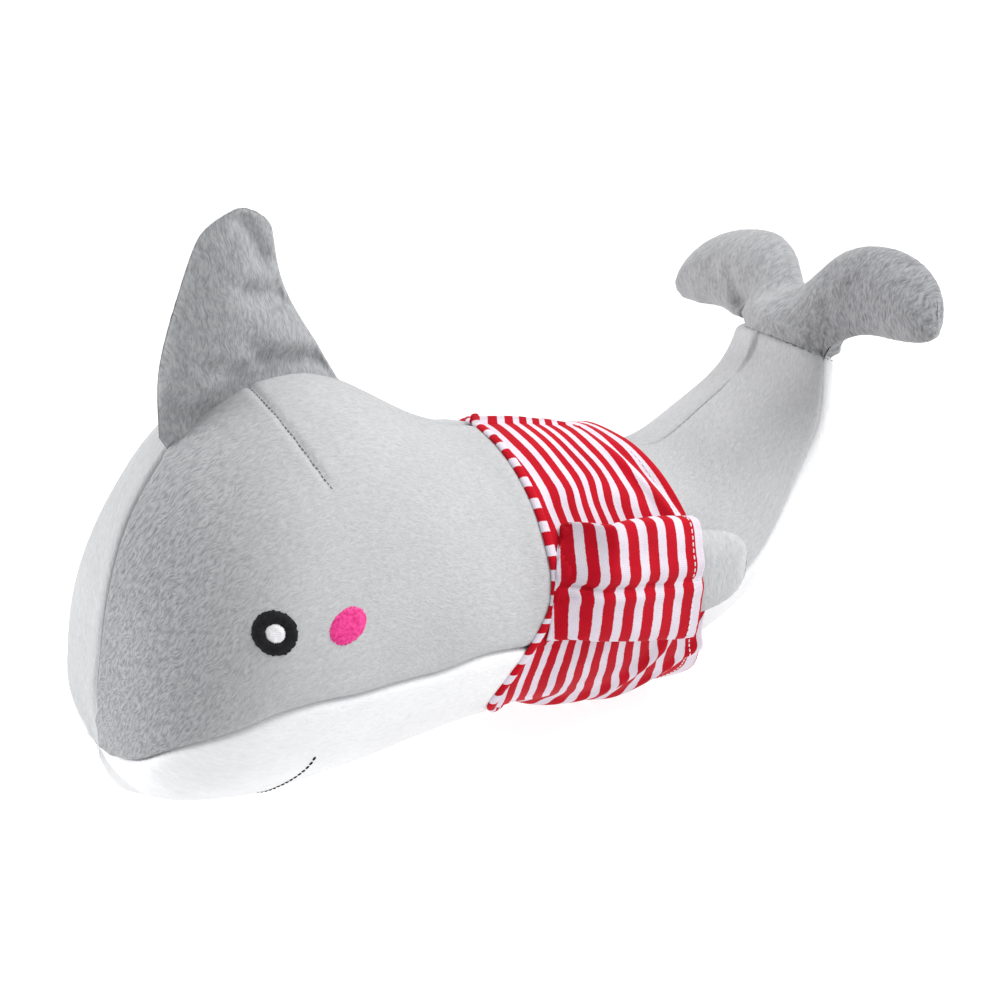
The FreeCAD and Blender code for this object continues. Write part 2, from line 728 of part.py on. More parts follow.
def check_all(pieces):
    """Stop if any object failed to recompute or any piece is not a sound solid."""
    for obj in doc.Objects:
        if "Invalid" in obj.State or "Error" in obj.State:
            raise RuntimeError("%s did not recompute" % obj.Label)
    for piece in pieces:
        if piece.Shape.isNull() or not piece.Shape.isValid() or not piece.Shape.Solids:
            raise RuntimeError("%s is not a sound solid" % piece.Label)


def main():
    fill_sheet()
    pieces = make_body_and_tail() + make_face() + make_dorsal_fin() + make_fluke()
    pieces += make_shirt()
    pieces += make_flipper("left", 1) + make_flipper("right", -1)
    doc.recompute()
    check_all(pieces)
    os.makedirs("parts", exist_ok=True)
    whole = FreeCAD.BoundBox()
    for piece in pieces:
        piece.Shape.exportStep("parts/%s.step" % piece.Label)
        whole.add(piece.Shape.optimalBoundingBox())
        print("%-28s solids %d  volume %9.1f" % (
            piece.Label, len(piece.Shape.Solids), piece.Shape.Volume))
    print("whole", whole)


main()
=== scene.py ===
"""Looks of the plush shark: plush skins, embroidery, the striped shirt and the studio.

Metres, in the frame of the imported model: +Z up, nose towards -Y, left side towards +X.
"""
import json
import math
from functools import partial
import bpy
import numpy as np
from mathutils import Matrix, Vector
from mathutils.bvhtree import BVHTree


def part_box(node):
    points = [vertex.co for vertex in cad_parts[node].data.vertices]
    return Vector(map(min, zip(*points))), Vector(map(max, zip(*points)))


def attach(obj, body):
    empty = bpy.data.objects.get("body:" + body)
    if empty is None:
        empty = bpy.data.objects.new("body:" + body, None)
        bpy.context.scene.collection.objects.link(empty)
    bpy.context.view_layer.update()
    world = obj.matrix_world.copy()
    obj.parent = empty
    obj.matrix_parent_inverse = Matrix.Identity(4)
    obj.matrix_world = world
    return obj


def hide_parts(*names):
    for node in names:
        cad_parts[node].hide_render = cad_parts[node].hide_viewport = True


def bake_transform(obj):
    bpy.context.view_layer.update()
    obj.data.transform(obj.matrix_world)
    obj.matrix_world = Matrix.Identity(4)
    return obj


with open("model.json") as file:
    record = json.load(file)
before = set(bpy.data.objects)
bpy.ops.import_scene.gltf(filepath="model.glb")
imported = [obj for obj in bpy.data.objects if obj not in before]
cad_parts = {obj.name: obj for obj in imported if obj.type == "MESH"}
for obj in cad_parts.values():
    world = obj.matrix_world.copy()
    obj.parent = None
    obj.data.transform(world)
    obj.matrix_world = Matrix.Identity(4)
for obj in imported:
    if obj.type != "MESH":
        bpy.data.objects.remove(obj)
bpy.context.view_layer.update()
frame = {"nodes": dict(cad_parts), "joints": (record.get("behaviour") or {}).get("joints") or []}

MM = 0.001
GRID_STEP = 1.0 * MM
SEED = 7
ACROSS = np.array([1.0, 0, 0])
ALONG = np.array([0, 1.0, 0])
UP = np.array([0, 0, 1.0])

JOINTS = {joint["name"]: joint for joint in frame["joints"]}
SIDES = ((1, "left"), (-1, "right"))


# --- Mesh helpers ---------------------------------------------------------------------

def unit(vectors):
    """Vectors of length one, along the last axis."""
    length = np.linalg.norm(vectors, axis=-1, keepdims=True)
    return vectors / np.maximum(length, 1e-12)


def smooth(values, axis, sigma):
    """Gaussian blur along one axis, with the ends held."""
    reach = int(3 * sigma) + 1
    kernel = np.exp(-0.5 * (np.arange(-reach, reach + 1) / sigma) ** 2)
    kernel /= kernel.sum()
    pad = [(0, 0)] * values.ndim
    pad[axis] = (reach, reach)
    padded = np.pad(values, pad, mode="edge")
    return np.apply_along_axis(lambda line: np.convolve(line, kernel, "valid"), axis, padded)


def soft_step(values, low, high):
    """0 below low, 1 above high, smooth between."""
    t = np.clip((values - low) / (high - low), 0, 1)
    return t * t * (3 - 2 * t)


def bump(distance, width):
    """A bell of height one."""
    return np.exp(-(distance / width) ** 2)


def grid_faces(rows, columns, wrap=False, closed=False):
    """Quads of a grid of points in row order.

    wrap joins the last column to the first, and closed joins the last row to the first.
    """
    down = rows if closed else rows - 1
    across = columns if wrap else columns - 1
    r, c = np.meshgrid(np.arange(down), np.arange(across), indexing="ij")
    below = (r + 1) % rows
    after = (c + 1) % columns
    quads = np.stack([r * columns + c, r * columns + after,
                      below * columns + after, below * columns + c], axis=-1)
    return quads.reshape(-1, 4)


def grid_normals(points, wrap=False):
    """Unit normals of a grid, rows x columns x 3, towards either side."""
    down = np.gradient(points, axis=0)
    if wrap:
        across = np.roll(points, -1, axis=1) - np.roll(points, 1, axis=1)
    else:
        across = np.gradient(points, axis=1)
    return unit(np.cross(down, across))


def outward(normals, points, centres):
    """The same normals, each turned to point away from its centre."""
    return normals * np.sign((normals * (points - centres)).sum(axis=2, keepdims=True))


def run_length(points, axis=0):
    """Distance travelled along one axis of a grid of points, starting from zero."""
    steps = np.linalg.norm(np.diff(points, axis=axis), axis=-1)
    start = np.zeros_like(np.take(steps, [0], axis=axis))
    return np.concatenate([start, np.cumsum(steps, axis=axis)], axis=axis)


def closed_row(points, row):
    """One row of a ring-shaped grid, with its first point again at the end."""
    return np.concatenate([points[row], points[row, :1]])


def mesh_object(name, vertices, faces, material, flow=None):
    """A smooth-shaded mesh piece. flow is cloth position in metres at each vertex."""
    vertices = np.asarray(vertices, float).reshape(-1, 3)
    faces = np.asarray(faces, int)
    sides = faces.shape[1]
    mesh = bpy.data.meshes.new(name)
    mesh.vertices.add(len(vertices))
    mesh.vertices.foreach_set("co", vertices.astype(np.float32).ravel())
    mesh.loops.add(faces.size)
    mesh.loops.foreach_set("vertex_index", faces.astype(np.int32).ravel())
    mesh.polygons.add(len(faces))
    mesh.polygons.foreach_set("loop_start", np.arange(0, faces.size, sides, dtype=np.int32))
    mesh.polygons.foreach_set("use_smooth", np.ones(len(faces), bool))
    mesh.update(calc_edges=True)
    if flow is not None:
        layer = mesh.attributes.new("cloth", "FLOAT_VECTOR", "POINT")
        layer.data.foreach_set("vector", np.asarray(flow, np.float32).ravel())
    mesh.validate()
    obj = bpy.data.objects.new(name, mesh)
    bpy.context.scene.collection.objects.link(obj)
    mesh.materials.append(material)
    return obj


def joined(parts):
    """Several (vertices, faces, flow) sets as one."""
    vertices, faces, flows = [], [], []
    start = 0
    for part_vertices, part_faces, part_flow in parts:
        part_vertices = np.asarray(part_vertices, float).reshape(-1, 3)
        vertices.append(part_vertices)
        faces.append(np.asarray(part_faces, int) + start)
        flows.append(np.asarray(part_flow, float).reshape(-1, 3))
        start += len(part_vertices)
    return np.concatenate(vertices), np.concatenate(faces), np.concatenate(flows)


def node_tree(names):
    """One ray-casting tree over several CAD nodes, and the node that owns each face."""
    vertices, faces, owners = [], [], []
    for name in names:
        mesh = frame["nodes"][name].data
        start = len(vertices)
        vertices.extend(vertex.co.copy() for vertex in mesh.vertices)
        for face in mesh.polygons:
            faces.append([start + i for i in face.vertices])
            owners.append(name)
    return BVHTree.FromPolygons(vertices, faces), owners


def object_tree(obj):
    """A ray-casting tree over a finished piece."""
    return BVHTree.FromPolygons([vertex.co.copy() for vertex in obj.data.vertices],
                                [list(face.vertices) for face in obj.data.polygons])


def outer_hit(tree, start, way, reach):
    """Distance from a start point out to a tree's outermost surface, its normal and its face."""
    way = Vector(way)
    normal, face, distance = tree.ray_cast(Vector(start) + way * reach, -way, reach)[1:]
    return None if distance is None else reach - distance, normal, face


def plush_points(tree, starts, way):
    """Points and outward directions where parallel rays meet the plush."""
    way = Vector(way)
    line, outs = [], []
    for start in starts:
        hit, normal = tree.ray_cast(Vector(start), way)[:2]
        if hit is not None:
            line.append(np.array(hit))
            outs.append(np.array(normal if normal.dot(way) < 0 else -normal))
    return np.array(line), np.array(outs)


def nearest_on_line(points, line):
    """Distance from each 2-D point to a line's points, and how far along the line that is."""
    flat = points.reshape(-1, 2)
    near = np.full(len(flat), np.inf)
    share = np.zeros(len(flat))
    for i, spot in enumerate(line):
        distance = np.linalg.norm(flat - spot, axis=1)
        closer = distance < near
        near[closer] = distance[closer]
        share[closer] = i / (len(line) - 1)
    return near.reshape(points.shape[:-1]), share.reshape(points.shape[:-1])


def lumps(points, scale, seed):
    """Smooth pseudo-random field between about -1 and 1, made of a few crossed waves."""
    random = np.random.default_rng(seed)
    total = np.zeros(points.shape[:-1])
    for _ in range(9):
        direction = unit(random.normal(size=3))
        phase = random.uniform(0, 2 * math.pi)
        pitch = scale * random.uniform(0.7, 1.5)
        total += np.sin(points @ direction * (2 * math.pi / pitch) + phase)
    return total / 4.5


# --- Materials ------------------------------------------------------------------------

PILE_WANDER = 6 * MM
PILE_SCALE = (520.0, 1900.0, 1.0)
TUFT_SCALE = (300.0, 760.0, 1.0)
STRIPE_PITCH = 8.4 * MM
RED_SHARE = 0.56
STRIPE_BLUR = 0.012


def new_material(name):
    """An empty node material, its node maker and its surface shader."""
    material = bpy.data.materials.new(name)
    material.use_nodes = True
    tree = material.node_tree
    tree.nodes.clear()
    output = tree.nodes.new("ShaderNodeOutputMaterial")
    shader = tree.nodes.new("ShaderNodeBsdfPrincipled")
    tree.links.new(shader.outputs["BSDF"], output.inputs["Surface"])
    return material, tree, shader


def feed(tree, node, inputs):
    """Gives each named input of a node a value, or links it to another node's socket."""
    for key, value in inputs.items():
        if isinstance(value, bpy.types.NodeSocket):
            tree.links.new(value, node.inputs[key])
        else:
            node.inputs[key].default_value = value


def add(tree, kind, inputs=None, **settings):
    """A new node with its settings and its inputs."""
    node = tree.nodes.new(kind)
    for key, value in settings.items():
        setattr(node, key, value)
    feed(tree, node, inputs or {})
    return node


def maths(tree, operation, first, second=0.0):
    """The result of one sum on numbers or sockets."""
    return add(tree, "ShaderNodeMath", {0: first, 1: second}, operation=operation).outputs[0]


def cloth_place(tree, scale=(1, 1, 1)):
    """The cloth position attribute, scaled separately along and across."""
    place = add(tree, "ShaderNodeAttribute", attribute_name="cloth").outputs["Vector"]
    return add(tree, "ShaderNodeMapping", {"Vector": place, "Scale": scale}).outputs["Vector"]


def noise(tree, vector, scale, detail=2.0):
    """A noise pattern, 0 to 1."""
    return add(tree, "ShaderNodeTexNoise", {"Vector": vector, "Scale": scale, "Detail": detail,
                                            "Roughness": 0.6}).outputs["Fac"]


def ramp(tree, value, stops):
    """A colour ramp; stops are (place, colour)."""
    node = add(tree, "ShaderNodeValToRGB", {"Fac": value})
    elements = node.color_ramp.elements
    for element, (place, colour) in zip(elements, stops):
        element.position = place
        element.color = (*colour, 1.0)
    for place, colour in stops[len(elements):]:
        elements.new(place).color = (*colour, 1.0)
    return node.outputs["Color"]


def mixed(tree, factor, first, second, blend="MIX"):
    """A colour mix; the factor and colours are values or sockets."""
    node = add(tree, "ShaderNodeMix", data_type="RGBA", blend_type=blend)
    for socket, value in ((node.inputs[0], factor), (node.inputs[6], first), (node.inputs[7], second)):
        if isinstance(value, bpy.types.NodeSocket):
            tree.links.new(value, socket)
        else:
            socket.default_value = value if isinstance(value, float) else (*value, 1.0)
    return node.outputs[2]


def bumped(tree, height, strength, depth):
    """A normal raised by a height pattern, to a depth in metres."""
    return add(tree, "ShaderNodeBump", {"Height": height, "Strength": strength,
                                        "Distance": depth}).outputs["Normal"]


def plush_material(name, dark, middle, light, sheen):
    """Short pile combed along the toy: streaks of light and shadow, brushed patches, soft sheen.

    Where a piece is marked for painted shade, its plush is darkened by that amount, and darker still in
    the gaps between tufts.
    """
    material, tree, shader = new_material(name)
    wander = noise(tree, cloth_place(tree), 120.0, 1.0)
    drift = maths(tree, "MULTIPLY", maths(tree, "SUBTRACT", wander, 0.5), PILE_WANDER)
    shift = add(tree, "ShaderNodeCombineXYZ", {"Y": drift}).outputs["Vector"]
    place = add(tree, "ShaderNodeAttribute", attribute_name="cloth").outputs["Vector"]
    bent = add(tree, "ShaderNodeVectorMath", {0: place, 1: shift}, operation="ADD").outputs["Vector"]
    combed = add(tree, "ShaderNodeMapping", {"Vector": bent, "Scale": PILE_SCALE}).outputs["Vector"]
    fine = noise(tree, combed, 1.0)
    tufts = noise(tree, cloth_place(tree, TUFT_SCALE), 1.0)
    patches = noise(tree, cloth_place(tree), 28.0, 3.0)
    pile = maths(tree, "ADD", maths(tree, "MULTIPLY", fine, 0.62), maths(tree, "MULTIPLY", tufts, 0.38))
    colour = ramp(tree, pile, ((0.30, dark), (0.50, middle), (0.70, light)))
    brushed = ramp(tree, patches, ((0.30, (0.93, 0.93, 0.935)), (0.70, (1.0, 1.0, 1.0))))
    # Painted shade: the plush is darkened where a piece is marked for it, and more so between its tufts.
    painted_shade = add(tree, "ShaderNodeAttribute", attribute_name="painted_shade").outputs["Fac"]
    painted_darkening = ramp(tree, painted_shade, ((0.0, (1.0, 1.0, 1.0)), (1.0, (0.62, 0.62, 0.63))))
    base = mixed(tree, 1.0, mixed(tree, 1.0, colour, brushed, "MULTIPLY"), painted_darkening, "MULTIPLY")
    painted_gap_shade = ramp(tree, pile, ((0.36, (0.55, 0.55, 0.56)), (0.56, (1.1, 1.1, 1.1))))
    base = mixed(tree, maths(tree, "MULTIPLY", painted_shade, 0.85), base,
                 mixed(tree, 1.0, base, painted_gap_shade, "MULTIPLY"))
    feed(tree, shader, {"Base Color": base, "Normal": bumped(tree, pile, 0.6, 0.6 * MM),
                        "Roughness": 0.92, "Specular IOR Level": 0.15, "Sheen Weight": sheen,
                        "Sheen Roughness": 0.38, "Sheen Tint": (1.0, 1.0, 1.0, 1.0)})
    return material


def jersey_material(name, stripe_axis):
    """Knitted jersey with stripes, counted along one axis of the cloth position."""
    material, tree, shader = new_material(name)
    place = add(tree, "ShaderNodeAttribute", attribute_name="cloth").outputs["Vector"]
    across = add(tree, "ShaderNodeSeparateXYZ", {"Vector": place}).outputs[stripe_axis]
    ragged = noise(tree, cloth_place(tree, (300.0, 900.0, 1.0)), 1.0, 1.0)
    edge = maths(tree, "MULTIPLY", maths(tree, "SUBTRACT", ragged, 0.5), 0.05)
    turns = maths(tree, "ADD", maths(tree, "DIVIDE", across, STRIPE_PITCH), edge)
    wave = maths(tree, "ABSOLUTE", maths(tree, "SUBTRACT", maths(tree, "FRACT", turns), 0.5))
    stripe = add(tree, "ShaderNodeMapRange",
                 {"Value": wave, "From Min": RED_SHARE / 2 - STRIPE_BLUR,
                  "From Max": RED_SHARE / 2 + STRIPE_BLUR}).outputs["Result"]
    tone = noise(tree, cloth_place(tree), 60.0, 3.0)
    red = ramp(tree, tone, ((0.3, (0.48, 0.002, 0.012)), (0.7, (0.61, 0.003, 0.019))))
    white = ramp(tree, tone, ((0.3, (0.74, 0.66, 0.76)), (0.7, (0.86, 0.80, 0.88))))
    colour = mixed(tree, stripe, red, white)
    waves = [add(tree, "ShaderNodeTexWave", {"Vector": cloth_place(tree), "Scale": scale,
                                             "Distortion": wobble, "Detail": 1.0},
                 wave_type="BANDS", bands_direction=axis).outputs["Fac"]
             for axis, scale, wobble in (("Y", 620.0, 1.2), ("X", 480.0, 0.8))]
    knit = maths(tree, "MULTIPLY", *waves)
    shade = ramp(tree, knit, ((0.0, (0.86, 0.86, 0.86)), (0.6, (1.0, 1.0, 1.0))))
    base = mixed(tree, 1.0, colour, shade, "MULTIPLY")
    feed(tree, shader, {"Base Color": base, "Normal": bumped(tree, knit, 0.35, 0.3 * MM),
                        "Roughness": 0.82, "Specular IOR Level": 0.12,
                        "Sheen Weight": 0.04, "Sheen Roughness": 0.5})
    return material


def thread_material(name, dark, light, roughness=0.45):
    """Twisted embroidery or sewing thread with a silky shine."""
    material, tree, shader = new_material(name)
    twist = noise(tree, cloth_place(tree), 700.0)
    colour = ramp(tree, twist, ((0.32, dark), (0.68, light)))
    feed(tree, shader, {"Base Color": colour, "Normal": bumped(tree, twist, 0.5, 0.3 * MM),
                        "Roughness": roughness, "Specular IOR Level": 0.25})
    return material


GREY = plush_material("grey_plush", (0.42, 0.425, 0.433), (0.500, 0.506, 0.516),
                      (0.58, 0.586, 0.596), 0.35)
WHITE = plush_material("white_plush", (0.80, 0.805, 0.82), (0.87, 0.875, 0.885),
                       (0.92, 0.92, 0.93), 0.25)
JERSEY = jersey_material("striped_jersey", "X")
BINDING = jersey_material("striped_binding", "Y")
BLACK_THREAD = thread_material("black_thread", (0.0015, 0.0015, 0.002), (0.010, 0.010, 0.013), 0.75)
WHITE_THREAD = thread_material("white_thread", (0.72, 0.72, 0.75), (0.92, 0.92, 0.94))
PINK_THREAD = thread_material("pink_thread", (0.60, 0.012, 0.17), (0.90, 0.07, 0.33))
# A darker copy of the grey plush, as painted shade on the fin and the fluke.
GREY_PAINTED_SHADE = plush_material("grey_plush_painted_shade", (0.325, 0.33, 0.338), (0.400, 0.406, 0.416),
                             (0.475, 0.482, 0.492), 0.25)
SEAM_THREAD = thread_material("grey_thread", (0.16, 0.16, 0.165), (0.30, 0.30, 0.31))


# --- Body surface, measured from the CAD panels -----------------------------------------

TAIL_CAP = 5 * MM
FAN_LENGTH = 62 * MM
BODY_REACH = 130 * MM
NOSE_DROP = 12 * MM
NOSE_SEAM = math.radians(6)
CHEEK_SEAM_DROP = math.radians(4)
BODY_NODES = ["side_panel_left", "side_panel_right", "belly_panel",
              "tail_panel_left", "tail_panel_right", "tail_belly_panel"]
GREY_NODES = ("side_panel_left", "tail_panel_left")


def spine():
    """Rows of the body grid: a fan round the nose, then sections along the spine to the fluke."""
    side_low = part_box("side_panel_left")[0]
    pole = np.array([0.0, side_low.y, side_low.z - NOSE_DROP])
    hinge = np.array(JOINTS["tail_bend"]["pos_m"])
    end = np.array(JOINTS["fluke_fold"]["pos_m"]) * [0, 1, 1]
    fan_centre = np.array([0.0, side_low.y + 36 * MM, 58 * MM])
    path = np.array([
        fan_centre,
        [0, -70 * MM, 66 * MM],
        [0, -20 * MM, 60 * MM],
        [0, 25 * MM, 55 * MM],
        hinge + [0, -10 * MM, -3 * MM],
        hinge + [0, 11 * MM, 3 * MM],
        hinge + [0, 30 * MM, 16 * MM],
        end + [0, -9 * MM, -19 * MM],
        end,
    ])
    reach = run_length(path)
    count = int(reach[-1] / GRID_STEP)
    places = np.linspace(0, reach[-1], count)
    centres = np.stack([np.interp(places, reach, path[:, i]) for i in range(3)], axis=1)
    centres[:, 1:] = smooth(centres[:, 1:], 0, 9 * MM / GRID_STEP)
    forward = unit(np.gradient(centres, axis=0))
    fan_rows = int(FAN_LENGTH / GRID_STEP)
    return pole, fan_centre, centres, forward, fan_rows


def ray_directions(pole, fan_centre, centres, forward, fan_rows, angles):
    """Start points and outward directions of the rays that measure the surface."""
    cos, sin = np.cos(angles)[:, None], np.sin(angles)[:, None]
    pole_way = unit(pole - fan_centre)
    rim = cos * ACROSS + sin * np.cross(ACROSS, forward[0])
    opening = np.arccos(np.clip(rim @ pole_way, -1, 1))[:, None]
    starts, ways = [], []
    for row in range(fan_rows):
        swing = (row + 0.35) / fan_rows
        way = (np.sin((1 - swing) * opening) * pole_way + np.sin(swing * opening) * rim)
        starts.append(np.repeat(fan_centre[None], len(angles), axis=0))
        ways.append(unit(way))
    for centre, ahead in zip(centres, forward):
        starts.append(np.repeat(centre[None], len(angles), axis=0))
        ways.append(cos * ACROSS + sin * np.cross(ACROSS, ahead))
    return np.array(starts), np.array(ways)


def measured_body():
    """Radius of the left half of the body on a grid, and which of its points are grey."""
    tree, owners = node_tree(BODY_NODES)
    angles = np.radians(np.linspace(89.5, -89.5, 144))
    starts, ways = ray_directions(*spine(), angles)
    radius = np.full(starts.shape[:2], np.nan)
    grey = np.zeros(starts.shape[:2], bool)
    for spot in np.ndindex(radius.shape):
        out, normal, face = outer_hit(tree, starts[spot], ways[spot], BODY_REACH)
        if out is not None and normal.dot(Vector(ways[spot])) > 0.15:
            radius[spot] = out
            grey[spot] = owners[face] in GREY_NODES
    return starts, ways, angles, radius, grey


def filled(radius, fade):
    """Radii with the open hinge gap bridged along each line of the body."""
    holes = np.isnan(radius)
    grown = holes.copy()
    for step in range(1, fade + 1):
        grown[step:] |= holes[:-step]
        grown[:-step] |= holes[step:]
    rows = np.arange(len(radius))
    whole = radius.copy()
    for column in range(radius.shape[1]):
        good = ~grown[:, column]
        whole[:, column] = np.interp(rows, rows[good], radius[good, column])
    return whole


def lift(y, side):
    """How far the toy's underside is drawn up, most of all between the chin and the shirt."""
    behind_chin = soft_step(y, -118 * MM, -88 * MM) * (1 - soft_step(y, -12 * MM, 28 * MM))
    chin = (1 - behind_chin) * (1 - soft_step(y, -80 * MM, -60 * MM))
    corner = soft_step(-side, 18, 48) * (1 - soft_step(-side, 66, 88))
    return 7.8 * MM * behind_chin * soft_step(-side, 22, 60) + 3.5 * MM * chin * corner


def seam_angles(y, angles, grey):
    """Angle of the belly seam at each row, from where the grey ends, evened over the hinge gap."""
    rows = np.arange(len(grey))
    good = np.abs(y - JOINTS["tail_bend"]["pos_m"][1] + 8 * MM) >= 20 * MM
    grey_count = np.interp(rows, rows[good], grey.sum(axis=1)[good])
    seam = angles[0] + (angles[1] - angles[0]) * (grey_count - 0.5)
    near_nose = 1 - soft_step(rows * GRID_STEP, 14 * MM, 40 * MM)
    seam = seam * (1 - near_nose) + NOSE_SEAM * near_nose
    eye_level = soft_step(y, -118 * MM, -90 * MM) * (1 - soft_step(y, -66 * MM, -40 * MM))
    return smooth(seam - CHEEK_SEAM_DROP * eye_level, 0, 5 * MM / GRID_STEP)


def body_surface():
    """Half-body grid: start points, directions, angles, smooth radii and seam angle per row."""
    starts, ways, angles, radius, grey = measured_body()
    seam = seam_angles(starts[:, 0, 1], angles, grey)
    radius = smooth(filled(radius, int(3 * MM / GRID_STEP)), 1, 2.0)
    radius = radius - lift(starts[..., 1] + ways[..., 1] * radius, np.degrees(angles))
    tail_end = len(starts) - 1
    starts, ways, radius, seam = with_tail_cap(starts, ways, radius, seam)
    return {"starts": starts, "ways": ways, "angles": angles, "radius": radius, "seam": seam,
            "tail_end": tail_end}


def with_tail_cap(starts, ways, radius, seam):
    """Adds rows that round off the tail's end, inside the foot of the fluke."""
    forward = unit(starts[-1, 0] - starts[-2, 0])
    turns = np.linspace(0, math.pi / 2, int(14 * MM / GRID_STEP))[1:-1]
    cap_starts = [starts[-1] + forward * TAIL_CAP * math.sin(turn) for turn in turns]
    cap_radius = [radius[-1] * math.cos(turn) ** 0.7 for turn in turns]
    count = len(turns)
    return (np.concatenate([starts, cap_starts]),
            np.concatenate([ways, np.repeat(ways[-1:], count, axis=0)]),
            np.concatenate([radius, cap_radius]),
            np.concatenate([seam, np.repeat(seam[-1:], count)]))


BODY = body_surface()


def body_points(angle_rows):
    """Points of the left half at each row's own angles (rows x columns)."""
    angles = BODY["angles"][::-1]
    points = np.empty(angle_rows.shape + (3,))
    for row in range(len(angle_rows)):
        wanted = np.clip(angle_rows[row], angles[0], angles[-1])
        radius = np.interp(wanted, angles, BODY["radius"][row][::-1])
        way = np.stack([np.interp(wanted, angles, BODY["ways"][row, ::-1, i]) for i in range(3)], 1)
        points[row] = BODY["starts"][row, 0] + unit(way) * radius[:, None]
    evened = smooth(points, 0, 3.0 * MM / GRID_STEP)
    share = soft_step(np.arange(len(points)) * GRID_STEP, 0, 14 * MM)[:, None, None]
    return points * (1 - share) + evened * share


def grid_place(points):
    """Cloth position of a grid: distance along the middle column, and across each row."""
    along = run_length(points[:, points.shape[1] // 2])
    across = run_length(points, 1)
    across -= across[:, -1:] / 2
    return np.stack([np.broadcast_to(along[:, None], across.shape), across,
                     np.zeros(across.shape)], axis=2)


def edge_distance(points):
    """Distance along each row to the nearer end of the row."""
    across = run_length(points, 1)
    return np.minimum(across, across[:, -1:] - across)


def tuck_in(points, normals, sewn):
    """Turns the first and last column of a panel in at its seams."""
    for edge in (0, -1):
        points[:, edge] -= normals[:, edge] * (TUCK * sewn[:, edge])[:, None]


SHIRT_LOW, SHIRT_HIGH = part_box("shirt_body")
NECK_HEIGHT = 58.5 * MM
NECK_REACH = 26 * MM
SEAM_DEPTH = 0.9 * MM
SEAM_WIDTH = 1.3 * MM
TUCK = 2.2 * MM
SIDE_WIDTH = 118 * MM
BELLY_WIDTH = 150 * MM


def plush_relief(points, normals, distance):
    """Seam grooves, soft unevenness of the filling and of the fine pile, as movement along the normal.
    """
    height = -SEAM_DEPTH * bump(distance, SEAM_WIDTH)
    height += 0.25 * MM * bump(distance - 4 * MM, 3 * MM)
    height += 0.5 * MM * lumps(points, 42 * MM, SEED)
    height += 0.05 * MM * lumps(points, 3.1 * MM, SEED + 1)
    return points + normals * height[..., None]


def neck_advance(side):
    """How far the shirt's neck edge runs ahead, by degrees above the level of the sides."""
    ahead = NECK_REACH * soft_step(-side, -8, 32) * (1 - 0.85 * soft_step(-side, 20, 55))
    return ahead - 4 * MM * soft_step(side, -5, 20)


def under_shirt(points):
    """Draws the plush in under the shirt, and lets it swell ahead of the neck edge."""
    side = np.degrees(np.arctan2(points[..., 2] - NECK_HEIGHT, np.abs(points[..., 0])))
    behind = points[..., 1] - SHIRT_LOW.y + neck_advance(side)
    covered = soft_step(behind, -1 * MM, 3 * MM) * (1 - soft_step(points[..., 1], 40 * MM, 52 * MM))
    return covered * 2.2 * MM - 0.5 * MM * bump(behind + 5 * MM, 3.5 * MM)


def under_fin(points):
    """1 where the dorsal fin stands on the body."""
    low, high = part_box("dorsal_fin_panel_left")
    y, z = points[..., 1], points[..., 2]
    covered = soft_step(y, low.y + 1 * MM, low.y + 5 * MM)
    covered *= 1 - soft_step(y, high.y - 6 * MM, high.y)
    return covered * (z > 90 * MM)


def from_nose(points):
    """0 at the nose, where all the seams meet, rising to 1 a little way off."""
    distance = np.linalg.norm(points - points[:1, :1], axis=2)
    return soft_step(distance, 1 * MM, 12 * MM)


def paint_shade(piece, share):
    """Marks how much painted shade darkens the plush, 0 to 1, at every point of a piece."""
    spots = np.array([vertex.co for vertex in piece.data.vertices])
    painted_darkening = piece.data.attributes.new("painted_shade", "FLOAT", "POINT")
    painted_darkening.data.foreach_set("value", share(spots).astype(np.float32))


def side_skin(side, name):
    """One grey side panel from the back seam to the belly seam, nose to fluke."""
    top = math.pi / 2
    share = np.linspace(0, 1, int(SIDE_WIDTH / GRID_STEP))
    angle_rows = top + (BODY["seam"][:, None] - top) * share
    points = body_points(np.minimum(angle_rows, BODY["angles"][0]))
    points[:, 0, 0] = 0
    normals = outward(grid_normals(points), points, BODY["starts"][:, :1])
    distance = edge_distance(points)
    points = points - normals * under_shirt(points)[..., None]
    sewn = from_nose(points) * (1 - under_fin(points))
    flat_back = soft_step(points[..., 1], 20 * MM, 50 * MM) * (points[..., 2] > BODY["starts"][:, :1, 2])
    points = plush_relief(points, normals, distance + (1 - sewn) * 20 * MM + flat_back * 0.8 * MM)
    points = dart(points, normals)
    sewn[:, 0] *= 1 - 0.65 * flat_back[:, 0]
    tuck_in(points, normals, sewn)
    points[..., 0] *= side
    faces = grid_faces(*points.shape[:2])
    if side < 0:
        faces = faces[:, ::-1]
    skin = mesh_object("side_fabric_" + name, points, faces, GREY, grid_place(points))
    # Painted shade on the left panel only: its plush is darkened towards the front of the head.
    if side > 0:
        paint_shade(skin, lambda spot: 1 - soft_step(spot[:, 1] - 0.25 * spot[:, 2], -178 * MM, -128 * MM))
    return skin


DART_START = (-100.5 * MM, 145 * MM)
DART_MIDDLE = (-97.5 * MM, 134 * MM)
DART_END = (-90 * MM, 117.5 * MM)


def dart_line(count=60):
    """The dart behind the fin, in side view: a gentle curve down and back."""
    t = np.linspace(0, 1, count)[:, None]
    start, middle, end = (np.array(p) for p in (DART_START, DART_MIDDLE, DART_END))
    return (1 - t) ** 2 * start + 2 * t * (1 - t) * middle + t ** 2 * end


def dart(points, normals):
    """Presses the dart's groove into a side panel."""
    near, share = nearest_on_line(points[..., 1:], dart_line())
    depth = 1.1 * MM * bump(near, 0.9 * MM) - 0.25 * MM * bump(near - 3 * MM, 2.5 * MM)
    depth *= 1 - soft_step(share, 0.85, 1.0)
    return points - normals * depth[..., None]


